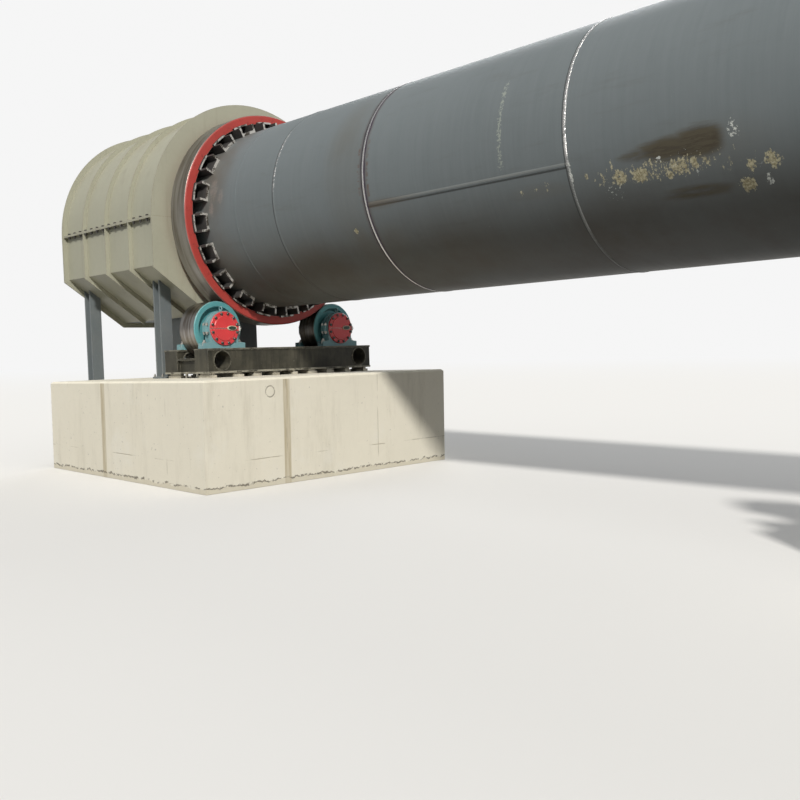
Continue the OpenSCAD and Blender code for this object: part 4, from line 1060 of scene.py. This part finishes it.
def bearing_fittings(number, station):
    bearings = [(end, side) for end in (-1, 1) for side in (-1, 1)]

    def on_bearing(bearing, out, across, up, direction=None, along=(1, 0, 0)):
        """A place counted from the roller's middle, facing out of the cover unless told otherwise."""
        end, side = bearing
        return at(station + end * out, side * ROLLER_Y + across, up - ROLLER_DROP,
                  direction or (end, 0, 0), along)

    rim = COVER_R - 0.022
    rim_face = COVER_FRONT - 0.007
    heads = [on_bearing(b, rim_face, across, up) for b in bearings for across, up in circle(rim, 12, 15)]
    place_bolts("cover_bolts_%d" % number, (0.026, 0.012, 0.003), heads, bolt_steel)

    # An oval oil window right of each cover's middle
    rim_model = cylinder(0.036, 0.010, sides=32)
    pick_faces(rim_model, lambda centre, normal: normal.z > 0.9)
    bpy.ops.mesh.inset(thickness=0.009)
    bpy.ops.mesh.extrude_region_move(TRANSFORM_OT_translate={"value": (0, 0, -0.006)})
    bpy.ops.object.mode_set(mode="OBJECT")
    rim_model.scale = (1.7, 0.70, 1.0)
    windows = [on_bearing(b, COVER_FRONT, 0.082, 0.004, along=(0, 1, 0)) for b in bearings]
    place_copies("window_rims_%d" % number, bevelled(settle(rim_model), 0.002), windows, cream_rim)
    glass = dome(0.027, at=(0, 0, 0.004), height=0.16)
    glass.scale = (1.78, 0.66, 1.0)
    place_copies("window_glass_%d" % number, settle(glass), windows, green_glass, smoothing=80)

    # A white grease block on the edge of each cover
    union = joined(bevelled(block((0.050, 0.016, 0.018)), 0.003),
                   peg(0.007, 0.010, 0.002, 0.002, at=(0, 0, 0.017), sides=16))
    unions = [on_bearing(b, COVER_BACK + 0.009, COVER_R - 0.001, 0, (0, 1, 0), (0, 0, 1))
              for b in bearings]
    place_copies("oil_unions_%d" % number, union, unions, white_cap)

    # Foot bolts, cap bolts and a lifting eye on each housing
    housing_mid = (COVER_BACK + HOUSING_FROM) / 2
    body_r = HOUSING_TOP - 0.012
    foot_y = (body_r + HOUSING_TOP + 0.076) / 2
    foot_z = 0.034 - HOUSING_FOOT
    feet = [on_bearing(b, housing_mid, across, foot_z, (0, 0, 1))
            for b in bearings for across in (-foot_y, foot_y)]
    place_bolts("foot_nuts_%d" % number, (0.046, 0.034, 0.006, 0.022), feet, bright_bolt)
    cap_y = (body_r + HOUSING_TOP + 0.030) / 2 + 0.003
    flange = 0.034
    caps = [on_bearing(b, housing_mid + shift, across, face * flange, (0, 0, face))
            for b in bearings for across in (-cap_y, cap_y)
            for shift in (-0.026, 0.026) for face in (-1, 1)]
    place_bolts("cap_nuts_%d" % number, (0.030, 0.018, 0.004, 0.010), caps, bright_bolt)
    eyes = [on_bearing(b, housing_mid, 0, HOUSING_TOP - 0.013, (0, 0, 1)) for b in bearings]
    place_copies("housing_eyes_%d" % number, lifting_eye(0.024, 0.007), eyes, teal)


def frame_fittings(number, station):
    """Anchor bolts on the cross beams and weld beads round the pipe sleeves."""
    high = span("base_frame_%d" % number)[1]
    inner = FRAME_REACH - BEAM_W
    stud_from = span("packing_plates_%d" % number)[0].z
    end_y = high.y - 0.045
    places = [at(station + way * (inner - 0.055), y, FRAME_BOTTOM + 0.020)
              for way in (-1, 1) for y in (-end_y + 0.026, end_y - 0.026)]
    nut = hex_head(0.050, 0.040, 0.006, 0.030)
    reach = FRAME_BOTTOM - stud_from + 0.020
    shank = cylinder(0.0155, reach, at=(0, 0, -reach), sides=16)
    anchor = joined(nut, crown(shank, 0.002, 0.001))
    place_copies("anchor_bolts_%d" % number, anchor, places, bright_bolt)
    middle = (FRAME_TOP + FRAME_BOTTOM) / 2
    web_face = 0.012
    sleeve_y = high.y - 0.177
    beads = [at(station + way * face, y, middle, (1, 0, 0))
             for way in (-1, 1) for face in (FRAME_REACH - web_face, inner + web_face)
             for y in (-sleeve_y, sleeve_y)]
    bead = hoop(0.109, 0.004, sides=64, round_sides=6)
    place_copies("sleeve_welds_%d" % number, bead, beads, frame_paint, smoothing=60)


for number, station in enumerate(STATIONS, 1):
    bearing_fittings(number, station)
    frame_fittings(number, station)


# ---- Fittings on the hood


def hood_fittings():
    flange_y = HOOD_R - 0.030
    pitch = 0.14
    count = int((HOOD_FROM - HOOD_TO - 0.24) / pitch)
    rows = [HOOD_TO + 0.12 + i * pitch for i in range(count + 1)]
    rib_step = (HOOD_FROM - HOOD_BACK) / 4
    rows = [x for x in rows if all(abs(x - (HOOD_FROM - i * rib_step)) > 0.035 for i in (1, 2, 3))]
    tops = [at(x, side * flange_y, 0.012) for x in rows for side in (-1, 1)]
    unders = [at(x, side * flange_y, -0.0125, (0, 0, -1)) for x in rows for side in (-1, 1)]
    place_bolts("hood_bolts", (0.030, 0.015, 0.003), tops, bolt_steel)
    place_bolts("hood_nuts", (0.030, 0.018, 0.003, 0.010), unders, bolt_steel)

    seal_face = span("seal_ring")[1].x
    seal_mid = span("seal_ring")[1].y - 0.020
    seals = [on_barrel(seal_face, turn, seal_mid, (1, 0, 0)) for turn in turns(36, 5)]
    place_bolts("seal_bolts", (0.022, 0.007, 0.002), seals, bolt_steel)

    low, high = span("burner_port")
    port_r = high.y - 0.025
    flange_face = HOOD_BACK - 0.0225
    ports = [on_barrel(x, turn, port_r, (-1, 0, 0))
             for x in (low.x, flange_face) for turn in turns(12, 15)]
    place_bolts("port_bolts", (0.028, 0.014, 0.003), ports, bolt_steel)


def door_fittings():
    """A latch with a T handle, and hinge pins on the inspection door."""
    low, high = span("hood_door")
    middle = (low.z + high.z) / 2
    post_y = high.y - 0.017
    pins = [at(low.x + 0.020, post_y, middle + level * 0.105 + 0.045) for level in (-1, 1)]
    pin = joined(peg(0.013, 0.018, 0.004, 0.004, sides=16),
                 peg(0.009, 0.100, 0.002, 0.001, at=(0, 0, -0.098), sides=12))
    place_copies("hinge_pins", pin, pins, bright_bolt)
    arm = bevelled(block((0.034, 0.180, 0.016)), 0.004)
    screw = peg(0.012, 0.060, 0.003, 0.003, at=(0, 0, 0.010), sides=16)
    bar = cylinder(0.008, 0.140, at=(-0.070, 0, 0.058), sides=12, rotation=(0, radians(90), 0))
    latch = joined(arm, screw, bevelled(bar, 0.002))
    latch_at = at(HOOD_BACK - 0.026, -0.225, middle, (-1, 0, 0), (0, 0, 1))
    place_copies("door_latch", latch, [latch_at], dark_steel)


def leg_fittings():
    """Anchor nuts on the feet of the hood's legs."""
    corner = 0.083
    spots = []
    points = points_of("hood_legs")
    for forward in (True, False):
        group = [p for p in points if (p.x > (HOOD_FROM + HOOD_BACK) / 2) == forward]
        floor = min(p.z for p in group)
        foot = [p for p in group if p.z < floor + 0.03 and p.y > 0]
        x = (min(p.x for p in foot) + max(p.x for p in foot)) / 2
        y = (min(p.y for p in foot) + max(p.y for p in foot)) / 2
        spots += [at(x + dx, side * y + dy, floor + 0.020)
                  for side in (-1, 1) for dx in (-corner, corner) for dy in (-corner, corner)]
    place_bolts("leg_nuts", (0.024, 0.016, 0.003, 0.014), spots, bright_bolt)


hood_fittings()
door_fittings()
leg_fittings()


# ---- Fittings on the girth gear and the drive


def gear_fittings():
    """Keepers on the spring pins, bolts through the rim's joints and bolts in the spring feet."""
    springs = 12
    first_pin = 15
    lug_face = 0.124
    eye_r = 1.193
    keeper = joined(bevelled(cylinder(0.034, 0.008), 0.002), hex_head(0.018, 0.008))
    spots = [on_barrel(GEAR_AT + way * lug_face, turn, eye_r, (way, 0, 0))
             for turn in turns(springs, first_pin) for way in (-1, 1)]
    place_copies("pin_keepers", keeper, spots, bolt_steel, body="barrel")

    joint_r = 1.200
    joint_half = 0.035
    bolts = []
    for turn in (0, 180):
        for face in (-1, 1):
            for shift in (-0.055, 0.0, 0.055):
                side = sideways(turn) * face
                spot = outward(turn) * joint_r + side * joint_half
                bolts.append(at(GEAR_AT + shift, spot.y, spot.z, side))
    place_bolts("joint_bolts", (0.036, 0.020, 0.004, 0.012), bolts, bolt_steel, body="barrel")

    spring_lean = 31.9
    foot_top = SHELL_R + 0.026 + 0.018
    screws = []
    for turn in turns(springs, first_pin - spring_lean):
        for back in (-0.110, -0.040, 0.030):
            for across in (-0.055, 0.055):
                spot = outward(turn) * foot_top + sideways(turn) * back
                screws.append(at(GEAR_AT + across, spot.y, spot.z, outward(turn)))
    place_bolts("spring_bolts", (0.030, 0.016, 0.003), screws, bolt_steel, body="barrel")


def in_drive(x, across, up, direction=(0, 0, 1), along=(1, 0, 0)):
    """A place on the drive's shaft line, counted from the middle of the pinion."""
    return at(GEAR_AT + x, PINION.y + across, PINION.z + up, direction, along)


def coupling_fittings():
    low, high = span("pinion_coupling")
    middle = (low.x + high.x) / 2 - GEAR_AT
    pitch = (high.y - low.y) / 2 - 0.022
    spots = [in_drive(middle + way * 0.030, across, up, (way, 0, 0))
             for across, up in circle(pitch, 8, 22) for way in (-1, 1)]
    place_bolts("coupling_bolts", (0.026, 0.014, 0.002, 0.008), spots, bright_bolt, body="pinion")


def pinion_bearing_fittings():
    low, high = span("pinion_bearings")
    half = (high.x - low.x) / 2
    block_w = 0.150
    block_at = half - block_w / 2
    body = high.z - PINION.z
    foot = PINION.z - low.z
    ends = [-block_at, block_at]
    caps = [in_drive(x + shift, way * (body + 0.012), face * 0.034, (0, 0, face))
            for x in ends for way in (-1, 1) for shift in (-0.030, 0.030) for face in (-1, 1)]
    place_bolts("pinion_cap_nuts", (0.034, 0.020, 0.004, 0.012), caps, bright_bolt)
    feet = [in_drive(x, way * (body + 0.032), -foot + 0.034) for x in ends for way in (-1, 1)]
    place_bolts("pinion_foot_nuts", (0.044, 0.032, 0.006, 0.020), feet, bright_bolt)
    seals = [in_drive(x + way * block_w / 2, 0, 0, (way, 0, 0)) for x in ends for way in (-1, 1)]
    ring = cylinder(0.118, 0.008, sides=48)
    pick_faces(ring, lambda centre, normal: normal.z > 0.9)
    bpy.ops.mesh.inset(thickness=0.030)
    bpy.ops.mesh.extrude_region_move(TRANSFORM_OT_translate={"value": (0, 0, -0.004)})
    bpy.ops.object.mode_set(mode="OBJECT")
    place_copies("pinion_seals", bevelled(ring, 0.0015), seals, cover_paint)
    eyes = [in_drive(x, 0, body - 0.013) for x in ends]
    place_copies("pinion_eyes", lifting_eye(0.024, 0.007), eyes, teal)


def reducer_fittings():
    low, high = span("gear_reducer")
    start = low.x - GEAR_AT
    length = high.x - low.x
    half_w = (high.y - low.y) / 2
    top = high.z - PINION.z
    foot = PINION.z - low.z
    pitch = (length - 0.16) / 6
    split = [in_drive(start + 0.08 + i * pitch, way * (half_w - 0.026), 0.022)
             for i in range(7) for way in (-1, 1)]
    place_bolts("reducer_bolts", (0.030, 0.018, 0.003, 0.010), split, bolt_steel)
    feet = [in_drive(start + 0.05 + i * (length - 0.10) / 3, way * (half_w - 0.028), -foot + 0.040)
            for i in range(4) for way in (-1, 1)]
    place_bolts("reducer_foot_nuts", (0.040, 0.028, 0.005, 0.018), feet, bright_bolt)
    hatch = [in_drive(start + length / 2 + dx, dy, top)
             for dx in (-0.125, 0, 0.125) for dy in (-0.085, 0.085)]
    place_bolts("hatch_bolts", (0.020, 0.010, 0.002), hatch, bright_bolt)
    breather = joined(peg(0.016, 0.030, 0.003, 0.002, sides=16),
                      peg(0.030, 0.022, 0.010, 0.010, at=(0, 0, 0.030)))
    place_copies("breather", breather, [in_drive(start + length / 2, 0, top)], bright_bolt)
    caps = []
    cap_r = 0.125
    for x, way in ((start, -1), (start + length - 0.005, 1)):
        caps += [in_drive(x, across, up, (way, 0, 0)) for across, up in circle(cap_r, 6, 0)]
    place_bolts("boss_bolts", (0.022, 0.006, 0.001), caps, bolt_steel)
    gauge = joined(bevelled(block((0.030, 0.130, 0.014)), 0.003),
                   peg(0.009, 0.018, 0.002, 0.002, at=(0, -0.050, 0), sides=12),
                   peg(0.009, 0.018, 0.002, 0.002, at=(0, 0.050, 0), sides=12))
    side = -half_w + 0.0405
    place_copies("oil_gauge", gauge, [in_drive(start + 0.300, side, -0.15, (0, -1, 0))], cream_rim)
    plug = hex_head(0.030, 0.016, 0.004)
    drain = in_drive(start + 0.300, side, -foot + 0.085, (0, -1, 0))
    place_copies("drain_plug", plug, [drain], bright_bolt)
    eyes = [in_drive(start + x, 0, top - 0.026) for x in (0.13, length - 0.13)]
    place_copies("reducer_eyes", lifting_eye(0.030, 0.009), eyes, green)


def motor_fittings():
    low, high = span("drive_motor")
    start = low.x - GEAR_AT
    end = high.x - GEAR_AT
    foot = PINION.z - low.z
    cowl = 0.150
    box_l = 0.230

    # The fan grille: rings and spokes on the cowl's end
    rings = [hoop(r, 0.004, sides=48, round_sides=6) for r in (0.045, 0.080, 0.115, 0.150, 0.180)]
    spokes = [bevelled(block((0.180, 0.008, 0.004), at=(0, 0, 0.002)), 0.001) for _ in range(4)]
    for i, spoke in enumerate(spokes):
        spoke.data.transform(Matrix.Translation((0.100, 0, 0)))
        spoke.data.transform(Matrix.Rotation(radians(90 * i + 45), 4, "Z"))
    hub = peg(0.030, 0.008, 0.006, 0.003)
    place_copies("fan_grille", joined(hub, *rings, *spokes), [in_drive(start, 0, 0, (-1, 0, 0))], green)

    # The terminal box's lid and its cable gland
    lid = bevelled(block((0.214, 0.154, 0.008)), 0.003)
    screws = [hex_head(0.012, 0.006) for _ in range(4)]
    corners = [(dx, dy, 0.008) for dy in (-0.065, 0.065) for dx in (-0.095, 0.095)]
    for screw, corner in zip(screws, corners):
        screw.data.transform(Matrix.Translation(corner))
    box_x = start + (end - start + cowl - box_l) / 2 + box_l / 2
    place_copies("terminal_lid", joined(lid, *screws), [in_drive(box_x, 0, high.z - PINION.z)], green)
    cap = cylinder(0.018, 0.022, at=(0, 0, 0.013), sides=20)
    gland = joined(hex_head(0.044, 0.014), crown(cap, 0.005, 0.006))
    gland_at = in_drive(box_x, -0.085, high.z - PINION.z - 0.055, (0, -1, 0))
    place_copies("cable_gland", gland, [gland_at], bright_bolt)

    feet = [in_drive(x, across, -foot + 0.028)
            for x in (start + 0.225, end - 0.060) for across in (-0.190, 0.190)]
    place_bolts("motor_foot_nuts", (0.030, 0.020, 0.004, 0.012), feet, bright_bolt)
    shield_r = 0.195
    shield = [in_drive(end, across, up, (1, 0, 0)) for across, up in circle(shield_r, 8, 22)]
    place_bolts("shield_bolts", (0.018, 0.008), shield, bolt_steel)


def drive_base_fittings():
    low, high = span("drive_base")
    count = 7
    length = high.x - low.x - 0.30
    rows = [low.x + 0.15 + i * length / (count - 1) for i in range(count)]
    spots = [at(x, y + way * 0.045, low.z + 0.020)
             for x in rows for y, way in ((low.y + 0.070, -1), (high.y - 0.070, 1))]
    place_bolts("drive_anchors", (0.040, 0.032, 0.005, 0.030), spots, bright_bolt)
    guard_low, guard_high = span("coupling_guard")
    feet = [at(x, y, guard_low.z + 0.008) for x in (guard_low.x + 0.05, guard_high.x - 0.05)
            for y in (guard_low.y + 0.020, guard_high.y - 0.020)]
    place_bolts("guard_bolts", (0.020, 0.012, 0.002), feet, bolt_steel)


gear_fittings()
coupling_fittings()
pinion_bearing_fittings()
reducer_fittings()
motor_fittings()
drive_base_fittings()


# ---- The end brace


def brace_fittings():
    """Welded shoes where the spokes meet the shell, and bolts in the centre plate."""
    low = span("brace_spokes")[0]
    shoe = bevelled(block((0.110, 0.090, 0.010)), 0.004)
    turned_in = Matrix.Rotation(pi, 4, "X")
    spots = [on_barrel(low.x + 0.050, turn, SHELL_IN - HAIR) @ turned_in for turn in turns(12, 15)]
    place_copies("spoke_shoes", shoe, spots, brace_red, body="barrel")
    plate_high = span("brace_plate")[1]
    edge = plate_high.y - 0.06
    bolts = [at(plate_high.x, y, z, (1, 0, 0)) for y in (-edge, edge) for z in (-edge, edge)]
    place_bolts("plate_bolts", (0.036, 0.018, 0.004), bolts, bolt_steel, body="barrel")


brace_fittings()


# ---- Floor, light and camera

SKY_STRENGTH = 0.46
# Each lamp: strength, spread in degrees, where it shines from and its colour
LAMPS = {
    "key": (3.0, 5, (1.05, -0.9, 1.0), (1.0, 0.975, 0.93)),
    "fill": (0.9, 30, (-0.7, 1.0, 0.6), (0.96, 0.98, 1.0)),
}
BACKDROP = 0.92


def pale_floor():
    """A plain pale floor that melts into the backdrop far away and throws little light up."""
    clear_selection()
    bpy.ops.mesh.primitive_plane_add(size=400, location=(6, 0, -0.002))
    floor = bpy.context.object
    floor.name = "floor"
    g = new_finish("floor")
    path = g.add("LightPath")
    direct = Wire(g, path.outputs["Is Camera Ray"]).over(Wire(g, path.outputs["Is Transmission Ray"]))
    seen = direct.over(Wire(g, path.outputs["Is Glossy Ray"]))
    x, y = g.split(g.point())[:2]
    away = g.maths("SQRT", x * x + y * y)
    far = away.step(14.0, 60.0) * direct
    near = g.mix(seen, (0.13, 0.125, 0.115), (0.80, 0.79, 0.77))
    shade(g, g.mix(far, near, (0, 0, 0)), 0.9,
          **{"Specular IOR Level": 0.0, "Emission Color": (1, 1, 1), "Emission Strength": far * BACKDROP})
    floor.data.materials.append(g.finish)


def soft_light():
    """An even sky, a lamp from the upper end, as in the photograph, and a weak one from behind."""
    world = bpy.data.worlds.new("studio")
    bpy.context.scene.world = world
    world.use_nodes = True
    world.node_tree.nodes.clear()
    g = Graph(world.node_tree)
    path = g.add("LightPath")
    seen = Wire(g, path.outputs["Is Camera Ray"]).over(Wire(g, path.outputs["Is Transmission Ray"]))
    sky = g.add("Background", {"Color": g.mix(seen, (0.96, 0.98, 1.0), (1.0, 1.0, 1.0)),
                               "Strength": g.between(seen, SKY_STRENGTH, BACKDROP)})
    end = g.add("OutputWorld")
    world.node_tree.links.new(sky.outputs["Background"], end.inputs["Surface"])
    for name, (strength, spread, shines_from, colour) in LAMPS.items():
        lamp = bpy.data.lights.new(name, "SUN")
        lamp.energy = strength
        lamp.angle = radians(spread)
        lamp.color = colour
        placed = bpy.data.objects.new(name, lamp)
        bpy.context.scene.collection.objects.link(placed)
        placed.rotation_mode = "QUATERNION"
        placed.rotation_quaternion = Vector(shines_from).to_track_quat("Z", "Y")


# The photograph's viewpoint
CAMERA_AT = (8.64645, -6.57363, 1.33704)
CAMERA_TURN = 44.8635
CAMERA_PITCH = -3.5258
CAMERA_ROLL = -1.0543
CAMERA_LENS = 41.734


def photo_camera():
    a, e, r = radians(CAMERA_TURN), radians(CAMERA_PITCH), radians(CAMERA_ROLL)
    forward = Vector((-sin(a) * cos(e), cos(a) * cos(e), sin(e)))
    level = Vector((cos(a), sin(a), 0))
    up = level.cross(forward)
    right = level * cos(r) + up * sin(r)
    top = up * cos(r) - level * sin(r)
    data = bpy.data.cameras.new("camera")
    data.lens = CAMERA_LENS
    data.sensor_width = 36
    data.clip_end = 500
    camera = bpy.data.objects.new("camera", data)
    bpy.context.scene.collection.objects.link(camera)
    turned = Matrix((right, top, -forward)).transposed().to_4x4()
    camera.matrix_world = Matrix.Translation(CAMERA_AT) @ turned
    bpy.context.scene.camera = camera


pale_floor()
soft_light()
photo_camera()
bpy.context.scene.view_settings.view_transform = "Standard"

clear_selection()
